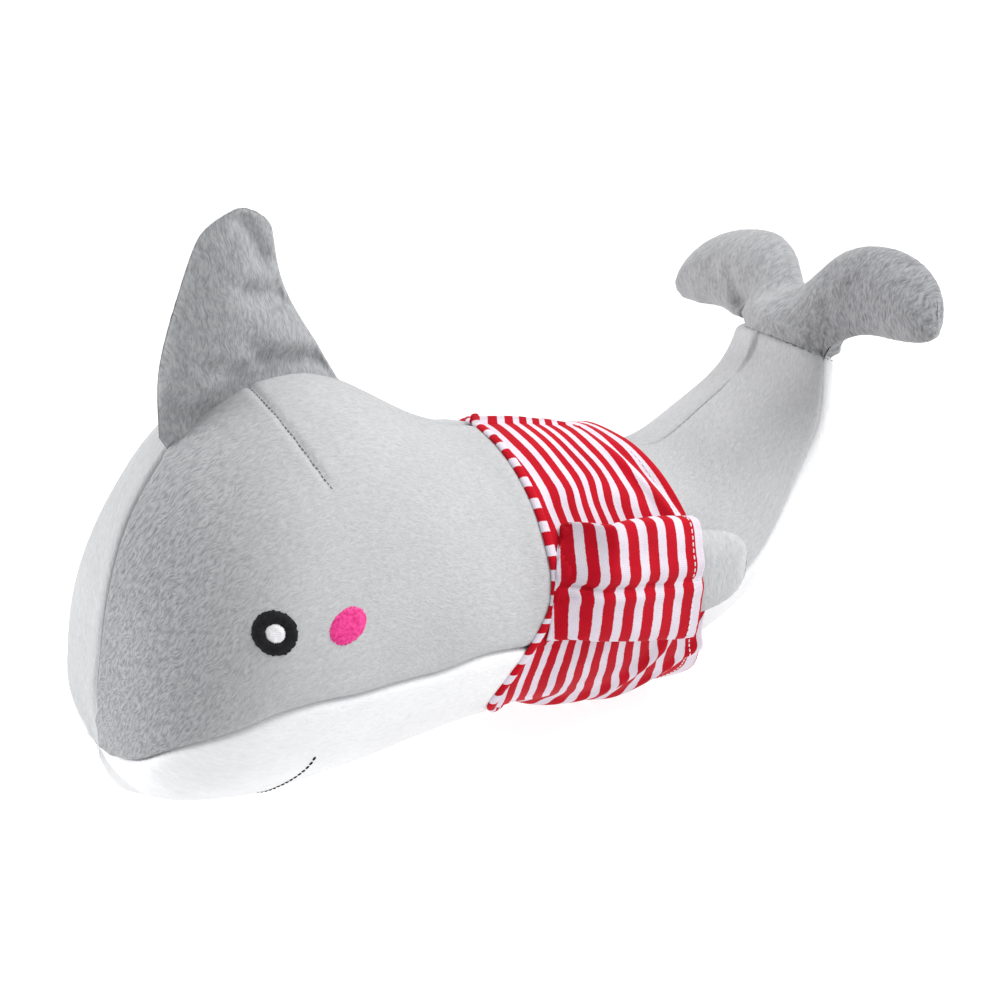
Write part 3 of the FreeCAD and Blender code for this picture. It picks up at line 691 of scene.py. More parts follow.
def belly_skin():
    """The white underside, from seam to seam."""
    share = np.linspace(-1, 1, int(BELLY_WIDTH / GRID_STEP))
    low = -math.pi / 2
    half = low + (BODY["seam"][:, None] - low) * np.abs(share)
    points = body_points(np.maximum(half, low))
    points[..., 0] *= np.sign(share)[None, :] + (share == 0)[None, :]
    normals = outward(grid_normals(points), points, BODY["starts"][:, :1])
    distance = edge_distance(points)
    points = points - normals * under_shirt(points)[..., None]
    sewn = from_nose(points)
    points = plush_relief(points, normals, distance + (1 - sewn) * 20 * MM)
    tuck_in(points, normals, sewn)
    points[..., 2] = np.maximum(points[..., 2], 0.3 * MM)
    faces = grid_faces(*points.shape[:2])[:, ::-1]
    return mesh_object("belly_fabric", points, faces, WHITE, grid_place(points))


def make_dart_stitches(skins):
    """The thread that shows at the bottom of the darts behind the fin."""
    for side, suffix in SIDES:
        starts = [(side * 0.2, y, z) for y, z in dart_line()[1:-1]]
        line, outs = plush_points(object_tree(skins[suffix]), starts, (-side, 0, 0))
        make_stitches("dart_stitches_" + suffix, line, outs, DART_STITCH, SEAM_THREAD, "body")


def make_back_stitches():
    """Small stitches that show in the back seam of the tail."""
    rows = np.arange(len(BODY["starts"]) // 2, BODY["tail_end"] - int(4 * MM / GRID_STEP))
    ways = unit(BODY["ways"][rows, 0] * [0, 1, 1])
    line = BODY["starts"][rows, 0] + ways * (BODY["radius"][rows, 0] - 0.9 * MM)[:, None]
    behind = line[:, 1] > SHIRT_HIGH.y - 6 * MM
    make_stitches("back_seam_stitches", line[behind], ways[behind], BACK_STITCH, SEAM_THREAD,
                  "tail")


def stuffed(nodes):
    """Hides the CAD nodes that a filled plush piece stands for; its skins take their place."""
    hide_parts(*nodes)


def make_body():
    """The plush body: two grey sides and the white underside. Returns the three skins."""
    skins = {suffix: side_skin(side, suffix) for side, suffix in SIDES}
    skins["belly"] = belly_skin()
    for suffix in ("left", "right"):
        stuffed(("side_panel_" + suffix, "tail_panel_" + suffix))
    stuffed(("belly_panel", "tail_belly_panel"))
    for skin in skins.values():
        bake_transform(skin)
    return skins


# --- Flat-cut stuffed pieces: fin, fluke and flippers -----------------------------------

def node_edges(names):
    """End points of every mesh edge of the CAD nodes, as two arrays."""
    firsts, seconds = [], []
    for name in names:
        mesh = frame["nodes"][name].data
        points = np.array([vertex.co for vertex in mesh.vertices])
        pairs = np.array([list(edge.vertices) for edge in mesh.edges])
        firsts.append(points[pairs[:, 0]])
        seconds.append(points[pairs[:, 1]])
    return np.concatenate(firsts), np.concatenate(seconds)


def cuts(edges, origin, along, across, stations):
    """Lowest and highest value across, where planes at the stations along cut the nodes."""
    firsts, seconds = edges
    a, b = (firsts - origin) @ along, (seconds - origin) @ along
    u, v = (firsts - origin) @ across, (seconds - origin) @ across
    low, high = [], []
    for station in stations:
        crossed = (a - station) * (b - station) < 0
        share = (station - a[crossed]) / (b[crossed] - a[crossed])
        value = u[crossed] + (v[crossed] - u[crossed]) * share
        low.append(value.min() if value.size else np.nan)
        high.append(value.max() if value.size else np.nan)
    good = ~np.isnan(low)
    spots = np.arange(len(low))
    return (np.interp(spots, spots[good], np.array(low)[good]),
            np.interp(spots, spots[good], np.array(high)[good]))


def segment(start, end, count=24):
    """Points along a straight crease."""
    t = np.linspace(0, 1, count)[:, None]
    return (1 - t) * np.array(start) + t * np.array(end)


def creases(flat, lines):
    """Depth of pressed-in folds; a line is (start, end, depth, width), all in millimetres."""
    depth = np.zeros(flat.shape[:-1])
    for start, end, deep, wide in lines:
        spots = segment(np.array(start) * MM, np.array(end) * MM)
        depth += deep * MM * bump(nearest_on_line(flat, spots)[0], wide * MM)
    return depth


def beside(mask):
    """Grid points next to the marked ones."""
    near = np.zeros_like(mask)
    near[1:] |= mask[:-1]
    near[:-1] |= mask[1:]
    near[:, 1:] |= mask[:, :-1]
    near[:, :-1] |= mask[:, 1:]
    return near & ~mask


def pillow_side(name, material, flat, sewn, place, thickness, facing, lines=(), seed=SEED):
    """One panel of a flat-cut stuffed piece.

    flat is a grid of 2-D places in the cut, place(flat, height) puts it in space, sewn marks
    the grid points on its turned-in edge, and facing is 1 or -1 for the two panels.
    """
    distance = nearest_on_line(flat, flat[beside(sewn)])[0]
    height = thickness(flat, distance) - creases(flat, lines) * soft_step(distance, 0, 3 * MM)
    height = np.where(sewn, 0, np.maximum(height, 0.3 * MM))
    points = place(flat, facing * height)
    normals = grid_normals(points)
    away = place(flat, facing * (height + 1 * MM)) - points
    normals *= np.sign((normals * away).sum(axis=2, keepdims=True))
    rough = 0.35 * MM * lumps(points, 24 * MM, seed) * soft_step(distance, 0, 6 * MM)
    rough += 0.10 * MM * lumps(points, 3.1 * MM, seed + 1)
    rough += 0.06 * MM * lumps(points, 1.7 * MM, seed + 2)
    points = points + normals * np.where(sewn, 0, rough)[..., None]
    faces = grid_faces(*points.shape[:2])
    corner = points[1, 1]
    turn = np.cross(points[1, 2] - corner, points[2, 1] - corner)
    if turn @ normals[1, 1] < 0:
        faces = faces[:, ::-1]
    cloth = np.concatenate([flat[..., ::-1], np.full(flat.shape[:2] + (1,), facing * 0.3)], axis=2)
    return mesh_object(name, points, faces, material, cloth)


def tucked(shares, tuck):
    """Grid shares from 0 to 1 whose first and last step is the turned-in seam edge."""
    return np.concatenate([[tuck], shares[1:-1], [1 - tuck]])


def edge_mask(shape, bottom=True):
    """Marks the outermost rows and columns of a grid; the first row only if bottom is set."""
    mask = np.ones(shape, bool)
    mask[1:-1, 1:-1] = False
    mask[0, 1:-1] = bottom
    return mask


def body_top(y_values):
    """Height of the body's back seam over each place along the body."""
    tree = node_tree(["side_panel_left", "side_panel_right", "body_stuffing"])[0]
    down = Vector((0, 0, -1))
    return np.array([tree.ray_cast(Vector((2 * MM, y, 0.3)), down)[0].z for y in y_values])


FIN_NODES = ["dorsal_fin_panel_left", "dorsal_fin_panel_right"]
FIN_HALF_THICKNESS = 12.5 * MM
FIN_FOLDS = (
    ((-69, 146), (-95, 154), 3.0, 4.0),
    ((-95, 154), (-101, 158), 1.8, 3.4),
    ((-106, 151), (-115, 153), 2.4, 3.6),
    ((-92, 185), (-97, 196), 3.0, 3.4),
    ((-87, 171), (-100, 175), 3.2, 3.8),
    ((-122, 141), (-112, 133), 2.4, 4.5),
)


def carried_down(edge, levels):
    """Carries an edge line straight on below the row where it reaches furthest out."""
    widest = int(np.argmax(edge)) + int(2 * MM / GRID_STEP)
    above = widest + int(8 * MM / GRID_STEP)
    slope = (edge[widest] - edge[above]) / (levels[above] - levels[widest])
    carried = edge.copy()
    carried[:widest] = edge[widest] + slope * (levels[widest] - levels[:widest])
    return carried


def fin_grid():
    """Places (y, z) of the fin's cut, from inside the body to the rounded tip."""
    edges = node_edges(FIN_NODES)
    low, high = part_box(FIN_NODES[0])
    base = low.z + 6 * MM
    rows = int(96 * MM / GRID_STEP)
    turn = np.linspace(0, 1, rows)
    levels = base + (high.z - base) * np.sin(turn * math.pi / 2) ** 0.94
    levels[-1] = high.z - 0.15 * MM
    front, rear = cuts(edges, np.zeros(3), UP, ALONG, np.minimum(levels, high.z - 0.3 * MM))
    front, rear = smooth(front, 0, 2), smooth(rear, 0, 2)
    front, rear = -carried_down(-front, levels), carried_down(rear, levels)
    round_from = high.z - 8 * MM
    t = np.clip((levels - round_from) / (high.z - round_from), 0, 1)
    narrowing = np.sqrt(1 - t ** 2)
    middle = (front + rear) / 2
    front, rear = middle + (front - middle) * narrowing, middle + (rear - middle) * narrowing
    drop = np.linspace(-16 * MM, 0, int(16 * MM / GRID_STEP), endpoint=False)
    front = np.concatenate([front[0] - drop * 0.6, front])
    rear = np.concatenate([rear[0] + drop * 0.2, rear])
    levels = np.concatenate([levels[0] + drop, levels])
    columns = int(74 * MM / GRID_STEP)
    shares = tucked(0.5 - 0.5 * np.cos(np.linspace(0, math.pi, columns)), 0.02)
    y = front[:, None] + (rear - front)[:, None] * shares
    z = np.repeat(levels[:, None], columns, axis=1)
    return np.stack([y, z], axis=2)


def make_fin():
    """The dorsal fin: two plush panels sewn round the edge, standing on the body."""
    flat = fin_grid()
    top = body_top(flat[0, :, 0])

    def thickness(places, distance):
        y, z = places[..., 0], places[..., 1]
        above = z - np.interp(y, flat[0, :, 0], top)
        full = FIN_HALF_THICKNESS * (1 - 0.5 * soft_step(z, 150 * MM, 200 * MM))
        full = full * (0.52 + 0.48 * soft_step(above, 0, 13 * MM))
        edge = np.clip(distance / (21 * MM), 0, 1)
        return full * (1 - (1 - edge) ** 2) ** 0.72

    def place(places, height):
        return np.stack([height, places[..., 0], places[..., 1]], axis=-1)

    for facing, side in ((1, "left"), (-1, "right")):
        name = "fin_fabric_" + side
        panel = pillow_side(name, GREY_PAINTED_SHADE, flat, edge_mask(flat.shape[:2], bottom=False), place,
                            thickness, facing, FIN_FOLDS, 31 + facing)
        # Painted shade: the whole fin's plush is darkened further.
        paint_shade(panel, lambda spot: np.full(len(spot), 0.40))
        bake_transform(panel)
        stuffed(("dorsal_fin_panel_" + side,))


FLUKE_LEAN = math.radians(63)
FLUKE_CANT = math.radians(6)
FLUKE_HALF_THICKNESS = 12.5 * MM
FLUKE_FOOT = (22.8 * MM, 18.2 * MM)
FLUKE_FOLDS = (
    ((-24, 4), (-33, 18), 2.6, 3.4),
    ((-30, 8), (-44, 20), 1.3, 3.4),
    ((26, 5), (19, 24), 2.4, 3.0),
    ((31, 7), (36, 24), 1.6, 3.4),
    ((-3, 23), (-8, 12), 1.4, 3.0),
    ((10, 3), (6, 16), 1.0, 3.0),
)


def fluke_axes():
    """The fluke's own axes: across the tail, up the cut, and out of its front panel."""
    along_tail = np.array([0, math.cos(FLUKE_LEAN), math.sin(FLUKE_LEAN)])
    across = math.cos(FLUKE_CANT) * ACROSS + math.sin(FLUKE_CANT) * along_tail
    upward = math.cos(FLUKE_CANT) * along_tail - math.sin(FLUKE_CANT) * ACROSS
    return across, upward, np.cross(ACROSS, along_tail)


def make_fluke():
    """The fluke: a front and a rear panel sewn round the edge, with a foot round the tail's end."""
    across, upward, front = fluke_axes()
    seam = np.array(JOINTS["fluke_fold"]["pos_m"])
    edges = node_edges(["fluke_front_panel", "fluke_rear_panel"])
    reach = max(abs((edges[0] - seam) @ across)) - 0.25 * MM
    columns = int(170 * MM / GRID_STEP)
    stations = -reach * np.cos(np.linspace(0, math.pi, columns))
    low, high = cuts(edges, seam, across, upward, stations)
    foot_width, foot_depth = FLUKE_FOOT
    low = low - 8 * MM * (1 - soft_step(np.abs(stations), foot_width - 3 * MM, foot_width))
    shares = tucked(np.linspace(0, 1, int(60 * MM / GRID_STEP)), 0.02)
    p = low[:, None] + (high - low)[:, None] * shares
    q = np.repeat(stations[:, None], len(shares), axis=1)
    flat = np.stack([q, p], axis=2)
    sewn = edge_mask(flat.shape[:2])
    sewn[np.abs(stations) <= foot_width, 0] = False

    def thickness(places, distance, foot_reach):
        q, p = places[..., 0], places[..., 1]
        edge = np.clip(distance / (19 * MM), 0, 1)
        full = FLUKE_HALF_THICKNESS * (1 - (1 - edge) ** 2) ** 0.62
        along_tail = p * math.cos(FLUKE_CANT) + q * math.sin(FLUKE_CANT)
        share = 0.86 + 0.14 * soft_step(along_tail, -2 * MM, 2.2 * MM)
        width = foot_width * share
        foot = foot_depth * share * np.sqrt(np.clip(1 - (q / width) ** 2, 0, 1))
        near = 1 - soft_step(along_tail, 1 * MM, foot_reach)
        inside = 1 - soft_step(along_tail, -1 * MM, 2 * MM)
        return full * (1 - near) + np.maximum(foot, full * (1 - inside)) * near

    def place(places, height):
        return (seam + places[..., :1] * across + places[..., 1:2] * upward
                + height[..., None] * front)

    for facing, side, foot_reach in ((1, "front", 18 * MM), (-1, "rear", 8 * MM)):
        panel = pillow_side("fluke_fabric_" + side, GREY_PAINTED_SHADE, flat, sewn, place,
                            partial(thickness, foot_reach=foot_reach), facing, FLUKE_FOLDS,
                            41 + facing)
        # Painted shade: the plush is darkened, more towards the toy's left (+X) lobe.
        paint_shade(panel, lambda spot: 0.25 + 0.5 * soft_step(spot[:, 0], -8 * MM, 34 * MM))
        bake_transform(panel)
        stuffed(("fluke_" + side + "_panel",))
    make_fluke_stitches()


def make_fluke_stitches():
    """Dark stitches that show in the seam between tail and fluke."""
    ring = BODY["tail_end"] + 1
    ways = BODY["ways"][ring]
    line = BODY["starts"][ring] + ways * (BODY["radius"][ring] - 1.2 * MM)[:, None]
    make_stitches("fluke_seam_stitches", line, ways, FLUKE_STITCH, SEAM_THREAD, "tail")


def side_profile(names, side, stations):
    """Lowest, highest, innermost and outermost edge of CAD nodes at stations along Y."""
    edges = node_edges(names)
    return (*cuts(edges, np.zeros(3), ALONG, UP, stations),
            *cuts(edges, np.zeros(3), ALONG, side * ACROSS, stations))


def make_flipper(side, suffix):
    """A short rounded flipper, two panels sewn round the edge, lying flat along the side."""
    names = ["flipper_outer_panel_" + suffix, "flipper_inner_panel_" + suffix]
    low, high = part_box(names[0])
    start, stop = low.y + 20 * MM, high.y
    turn = np.linspace(0.02, math.pi - 0.04, int(90 * MM / GRID_STEP))
    stations = start + (stop - start) * (0.5 - 0.5 * np.cos(turn))
    bottom, top, inner, outer = side_profile(names, side, stations)
    middle = smooth((inner + outer) / 2, 0, 3)
    half = smooth((outer - inner) / 2, 0, 3)
    shares = tucked(0.5 - 0.5 * np.cos(np.linspace(0, math.pi, int(44 * MM / GRID_STEP))), 0.03)
    z = bottom[:, None] + (top - bottom)[:, None] * shares
    y = np.repeat(stations[:, None], len(shares), axis=1)
    flat = np.stack([y, z], axis=2)

    def thickness(places, distance):
        edge = np.clip(distance / (9 * MM), 0, 1)
        full = np.interp(places[..., 0], stations, half)
        in_sleeve = 1 - soft_step(places[..., 0], 36 * MM, 46 * MM)
        return (full * 1.15 - 1.2 * MM * in_sleeve) * (1 - (1 - edge) ** 2) ** 0.6

    def place(places, height):
        centre = np.interp(places[..., 0], stations, middle)
        return np.stack([side * centre + side * height, places[..., 0], places[..., 1]], axis=-1)

    for facing, layer in ((1, "outer"), (-1, "inner")):
        panel = pillow_side("flipper_fabric_" + layer + "_" + suffix, GREY, flat,
                            edge_mask(flat.shape[:2]), place, thickness, facing, (), 51 + facing)
        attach(panel, "flipper_" + suffix)
        stuffed(("flipper_" + layer + "_panel_" + suffix,))


# --- Shirt ------------------------------------------------------------------------------

CLOTH_THICKNESS = 0.9 * MM
HEM_TILT = math.radians(14.6)
SHIRT_REACH = 120 * MM
SHIRT_ROWS = int(92 * MM / GRID_STEP)
SHIRT_COLUMNS = int(360 * MM / GRID_STEP)


def shirt_rings():
    """Ring centres and planes of the shirt, from the neck to the hem."""
    t = np.linspace(0, 1, SHIRT_ROWS)
    hem_y = SHIRT_HIGH.y - 12.8 * MM
    y = SHIRT_LOW.y + 0.6 * MM + (hem_y - SHIRT_LOW.y - 1.2 * MM) * t
    z = NECK_HEIGHT - 9.4 * MM * t
    tilt = HEM_TILT * soft_step(t, 0.05, 1.0)
    centres = np.stack([np.zeros_like(y), y, z], axis=1)
    ups = np.stack([np.zeros_like(y), -np.sin(tilt), np.cos(tilt)], axis=1)
    return t, centres, ups


def above_sides(angles):
    """Degrees above the level of the sides, the same on the left and the right."""
    turn = np.degrees(angles)
    turn = np.where(turn > 270, turn - 360, turn)
    return np.where(turn > 90, 180 - turn, turn)


def shirt_surface():
    """Where the shirt's rings start, the ways out from there, their angles and their radii."""
    tree = node_tree(["shirt_body"])[0]
    body_tree = node_tree(["side_panel_left", "side_panel_right", "belly_panel"])[0]
    t, centres, ups = shirt_rings()
    angles = np.linspace(0, 2 * math.pi, SHIRT_COLUMNS, endpoint=False)
    radius = np.full((len(t), len(angles)), np.nan)
    ways = (np.cos(angles)[None, :, None] * ACROSS
            + np.sin(angles)[None, :, None] * ups[:, None, :])
    side = above_sides(angles)
    turn = np.degrees(angles)
    behind_back = soft_step(turn, 92, 112) * (1 - soft_step(turn, 140, 185))
    neck = 9 * MM * behind_back - neck_advance(side)
    hem = -9 * MM * soft_step(-side, -20, 22) - 8 * MM * soft_step(-side, 40, 80)
    moved = neck * (1 - soft_step(t, 0, 0.75))[:, None] + hem * soft_step(t, 0.45, 1.0)[:, None]
    starts = centres[:, None] + moved[..., None] * ALONG
    free = 1 - soft_step(side, 10, 45) * (1 - soft_step(t, 0.5, 0.9))[:, None]
    free = free * soft_step(t, 0, 0.15)[:, None]
    for spot in np.ndindex(radius.shape):
        tight = outer_hit(body_tree, starts[spot], ways[spot], SHIRT_REACH)[0]
        loose = outer_hit(tree, starts[spot], ways[spot], SHIRT_REACH)[0]
        if tight is not None:
            tight = tight + CLOTH_THICKNESS + 0.4 * MM * soft_step(t[spot[0]], 0, 0.15)
            radius[spot] = tight
        if loose is not None:
            share = 1.0 if tight is None else free[spot]
            radius[spot] = (loose + 0.5 * MM) * share + (tight or 0.0) * (1 - share)
    for column in range(len(angles)):
        good = ~np.isnan(radius[:, column])
        radius[:, column] = np.interp(t, t[good], radius[good, column])
    radius = smooth(radius, 0, 4 * MM / GRID_STEP)
    radius = radius - lift(starts[..., 1], side)
    return starts, ways, angles, radius


def shirt_folds(t, angles):
    """Outward movement of the cloth, and how far its stripes slide towards the neck."""
    u = t[:, None]
    side = above_sides(angles)[None, :]
    turn = np.degrees(angles)[None, :]
    near = np.where((turn > 90) & (turn <= 270), 0.55, 1.0)
    rise = np.zeros((len(t), len(angles)))
    slide = np.zeros_like(rise)
    crest = 0.70 + 0.23 * soft_step(95 - side, 0, 75)
    ridge = bump(u - crest, 0.055) * soft_step(side, 8, 35) * (1 - soft_step(side, 55, 80))
    rise += 2.2 * MM * ridge * near
    rise -= 1.0 * MM * bump(u - crest - 0.085, 0.04) * soft_step(side, 8, 35)
    slide += 1.6 * MM * soft_step(u, crest - 0.06, crest + 0.08) * soft_step(side, 5, 30)
    for place, middle, width, size in ((0.22, 45, 4, 1.5), (0.46, 50, 5, 1.9), (0.66, 44, 4, 1.5)):
        slide += size * MM * np.tanh((side - middle) / width) * bump(u - place, 0.17)
        rise += 0.9 * MM * bump(side - middle, 7) * bump(u - place, 0.12) * near
    for lead, size in ((0.22, 2.2), (0.52, 1.8)):
        line = lead + 0.55 * soft_step(side, -70, -12)
        low = 1 - soft_step(side, -16, -6)
        rise += size * MM * bump(u - line, 0.045) * low * soft_step(side, -80, -55)
        slide -= 2.0 * MM * soft_step(u, line - 0.03, line + 0.03) * low * soft_step(side, -80, -55)
    rise += 1.2 * MM * soft_step(u, 0.90, 1.0) * (1 + 0.5 * np.sin(angles * 7))
    return rise, slide


def sheet_shell(outer, normals, thickness):
    """Outer layer, both turned edges and the inner layer of a tube of cloth, in row order."""
    inner = outer - normals * thickness
    first_fold = (outer[0] + inner[0]) / 2 + (outer[0] - outer[1]) * 0.5
    last_fold = (outer[-1] + inner[-1]) / 2 + (outer[-1] - outer[-2]) * 0.5
    return np.concatenate([first_fold[None], outer, last_fold[None], inner[::-1]])


def both_layers(values):
    """Values of a cloth's rows, repeated for its turned edges and its inner layer."""
    return np.concatenate([values[:1], values, values[-1:], values[::-1]])


def make_shirt():
    """The body of the shirt. Returns the points and normals of its outer layer."""
    starts, ways, angles, radius = shirt_surface()
    t = np.linspace(0, 1, len(starts))
    rise, slide = shirt_folds(t, angles)
    points = starts + ways * radius[..., None]
    rise = rise + 0.35 * MM * lumps(points, 22 * MM, 61) * soft_step(t, 0, 0.1)[:, None]
    points = starts + ways * (radius + rise)[..., None]
    points[..., 2] = np.maximum(points[..., 2], 1.0 * MM)
    normals = outward(grid_normals(points, wrap=True), points,
                      starts.mean(axis=1, keepdims=True))
    along = run_length(points)
    from_hem = along[-1] - along
    usual = from_hem.mean(axis=1)[:, None]
    stripe = usual + 0.6 * (from_hem - usual) + slide + 1.85 * MM
    stripe = stripe + 0.22 * np.maximum(stripe - 14 * MM, 0)
    round_way = np.degrees(angles) / 360 * 340 * MM
    shell = sheet_shell(points, normals, CLOTH_THICKNESS)
    shell[..., 2] = np.maximum(shell[..., 2], 0.3 * MM)
    stripe = both_layers(stripe)
    cloth = np.stack([stripe, np.broadcast_to(round_way, stripe.shape), np.zeros(stripe.shape)], 2)
    faces = grid_faces(*shell.shape[:2], wrap=True, closed=True)
    piece = mesh_object("shirt_cloth", shell, faces, JERSEY, cloth)
    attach(piece, "body")
    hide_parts("shirt_body")
    return points, normals


# Pitch, width and height of the stitches
DART_STITCH = (1.5 * MM, 0.42 * MM, 0.35 * MM)
BACK_STITCH = (2.4 * MM, 0.5 * MM, 0.35 * MM)
FLUKE_STITCH = (3.1 * MM, 0.8 * MM, 0.4 * MM)
HEM_STITCH = (2.3 * MM, 0.55 * MM, 0.28 * MM)
MOUTH_STITCH = (2.6 * MM, 1.0 * MM, 0.45 * MM)
STITCH_FILL = 0.72


def stitch_mesh(points, normals, length, width, height):
    """A row of small raised stitches along a line of points; returns vertices, faces, flow."""
    reach = run_length(points)

    def along_line(values, at):
        return np.array([np.interp(at, reach, values[:, k]) for k in range(3)])

    count = max(1, int(reach[-1] / length))
    around, along = 8, 6
    parts = []
    tilt = np.linspace(0, 2 * math.pi, around, endpoint=False)
    slices = np.linspace(0, math.pi, along)
    for i in range(count):
        at = (i + 0.5) * reach[-1] / count
        centre = along_line(points, at)
        ahead = unit(along_line(points, at + length / 2) - along_line(points, at - length / 2))
        out = along_line(normals, at)
        out = unit(out - (out @ ahead) * ahead)
        across = np.cross(ahead, out)
        ring = (np.cos(tilt)[None, :, None] * across * width / 2
                + np.sin(tilt)[None, :, None] * out * height)
        thin = np.sin(slices)[:, None, None] ** 0.6
        run = -np.cos(slices)[:, None, None] * ahead * length * STITCH_FILL / 2
        shape = centre + run + ring * thin
        parts.append((shape, grid_faces(along, around, wrap=True), shape))
    return joined(parts)


def make_stitches(name, points, normals, size, material, body, replaced=()):
    """One piece of small stitches along a line; size is their pitch, width and height."""
    vertices, faces, flow = stitch_mesh(points, normals, *size)
    piece = mesh_object(name, vertices, faces, material, flow)
    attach(piece, body)
    if replaced:
        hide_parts(*replaced)


HEM_STITCH_ROW = 6.0 * MM
SHIRT_LENGTH = 82 * MM
SLEEVE_LENGTH = 61 * MM


def make_hem_stitches(name, points, normals, length, body, thread):
    """White stitches round a tube of cloth of a given length, a little above its hem."""
    row = len(points) - 1 - int(HEM_STITCH_ROW / length * len(points))
    make_stitches(name, closed_row(points, row), closed_row(normals, row), HEM_STITCH,
                  WHITE_THREAD, body, (thread,))


def make_binding(points, normals):
    """The narrow bias binding rolled round the neck edge."""
    ring = points[0]
    out = normals[0]
    ahead = unit(points[0] - points[2])
    tilt = np.radians(np.linspace(-78, 258, 14))
    reach = run_length(closed_row(points, 0))
    pucker = 0.12 * MM * np.sin(reach[:-1] / (2.6 * MM) * 2 * math.pi)
    wide = 1.75 * MM
    tall = 1.05 * MM + pucker
    centre = ring + ahead * 0.6 * MM + out * 0.1 * MM
    section = (np.cos(tilt)[None, :, None] * ahead[:, None] * wide
               + np.sin(tilt)[None, :, None] * out[:, None] * tall[:, None, None])
    tube = centre[:, None] + section
    tube = np.concatenate([tube, tube[:1]])
    tube[..., 2] = np.maximum(tube[..., 2], 0.3 * MM)
    width = tilt / (2 * math.pi) * 9 * MM
    cloth = np.stack([np.broadcast_to(width, tube.shape[:2]),
                      np.broadcast_to(reach[:, None], tube.shape[:2]),
                      np.zeros(tube.shape[:2])], axis=2)
    piece = mesh_object("neck_binding_cloth", tube, grid_faces(*tube.shape[:2])[:, ::-1],
                        BINDING, cloth)
    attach(piece, "body")
    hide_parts("neck_binding")


SLEEVE_CREASE = (-0.19, 0.10)
SIDEWAYS_SHARE = 0.65
TUCK_TOP = (-3 * MM, 98 * MM)
TUCK_FOOT = (-11 * MM, 81 * MM)


def sleeve_measures(node, side):
    """Rows along the sleeve with the height, depth and middle of the CAD tube at each."""
    low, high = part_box(node)
    start, stop = low.y - 2.4 * MM, high.y - 2.6 * MM
    stations = np.linspace(start, stop, int(66 * MM / GRID_STEP))
    held = np.clip(stations, low.y + 6 * MM, high.y - 6 * MM)
    return [smooth(line, 0, 3) for line in (stations, *side_profile([node], side, held))]


def sleeve_folds(across, t, y, z):
    """Outward movement of the sleeve's outer layer and the slide of its stripes."""
    crease = SLEEVE_CREASE[0] + (SLEEVE_CREASE[1] - SLEEVE_CREASE[0]) * t
    rise = 1.0 * MM * np.cos(np.clip(across, -1, 1) * 1.5)
    rise = rise - 2.0 * MM * bump(across - crease, 0.06) * (1 - 0.65 * t)
    rise += 1.1 * MM * bump(across - crease + 0.16, 0.12) * (1 - 0.4 * t)
    rise += 0.8 * MM * bump(across - crease - 0.24, 0.15)
    slide = 2.6 * MM * (1 - soft_step(across, crease - 0.07, crease + 0.07)) * (1 - 0.55 * t)
    from_tuck = nearest_on_line(np.stack([y, z], axis=2), segment(TUCK_TOP, TUCK_FOOT))[0]
    rise -= 1.5 * MM * bump(from_tuck, 1.2 * MM)
    return rise, slide


def make_sleeve(side, suffix, shirt_points):
    """A flattened tube of jersey sewn to the shirt at its front, open at the rear hem."""
    node = "sleeve_" + suffix
    stations, bottom, top, inner, outer = sleeve_measures(node, side)
    rows = len(stations)
    columns = int(110 * MM / GRID_STEP)
    tilt = np.linspace(0, 2 * math.pi, columns, endpoint=False)
    t = np.linspace(0, 1, rows)[:, None]
    up_share, out_share = np.sin(tilt)[None, :], np.cos(tilt)[None, :]
    across = np.sign(up_share) * np.abs(up_share) ** 0.9
    deep = np.sign(out_share) * np.abs(out_share) ** 0.5
    centre_z = ((bottom + top) / 2)[:, None]
    z = centre_z + across * ((top - bottom) / 2)[:, None]
    z = z + 1.5 * MM * np.sin(t * math.pi) * soft_step(across, 0.3, 1.0)
    z = z - 7.5 * MM * (1 - t) ** 1.6 * soft_step(across, 0.1, 1.0)
    y = stations[:, None] + (3 + 6.5 * across) * MM * (1 - t) ** 1.5

    rim = shirt_points[2]
    rim = rim[(rim[:, 0] * side > 20 * MM)]
    rim = rim[np.argsort(rim[:, 2])]
    sewn_x = np.interp(z, rim[:, 2], rim[:, 0] * side) + 1.0 * MM
    free = soft_step(t, 0.0, 0.30)
    flat_x = ((inner + outer) / 2)[:, None]
    middle = sewn_x * (1 - free) + flat_x * free
    half = 0.5 * MM + (((outer - inner) / 2)[:, None] - 0.5 * MM) * soft_step(t, 0.0, 0.22)
    rise, slide = sleeve_folds(across, t, y, z)
    outside = soft_step(out_share, 0.0, 0.35)
    opened = soft_step(t, 0.0, 0.12)
    x = middle + deep * half + outside * opened * rise
    points = np.stack([side * x, y, z], axis=2)
    points[..., 0] += side * 0.2 * MM * lumps(points, 14 * MM, 71)
    centres = np.stack([side * middle.mean(axis=1), stations, (bottom + top) / 2], axis=1)
    normals = outward(grid_normals(points, wrap=True), points, centres[:, None])
    shell = sheet_shell(points, normals, CLOTH_THICKNESS * 0.7)

    from_hem = stations[-1] - y - SIDEWAYS_SHARE * (middle - flat_x)
    stripe = from_hem - 1.35 * MM - slide * outside
    stripe = both_layers(stripe)
    round_way = np.broadcast_to(tilt[None, :] / (2 * math.pi) * 100 * MM, stripe.shape)
    cloth = np.stack([stripe, round_way, np.full(stripe.shape, 0.2)], axis=2)
    faces = grid_faces(*shell.shape[:2], wrap=True, closed=True)
    if side > 0:
        faces = faces[:, ::-1]
    piece = mesh_object("sleeve_cloth_" + suffix, shell, faces, JERSEY, cloth)
    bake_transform(piece)
    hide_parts(node)
    make_hem_stitches("sleeve_hem_stitches_" + suffix, points, normals, SLEEVE_LENGTH,
                      "flipper_" + suffix, "sleeve_hem_thread_" + suffix)


# --- Embroidery -------------------------------------------------------------------------

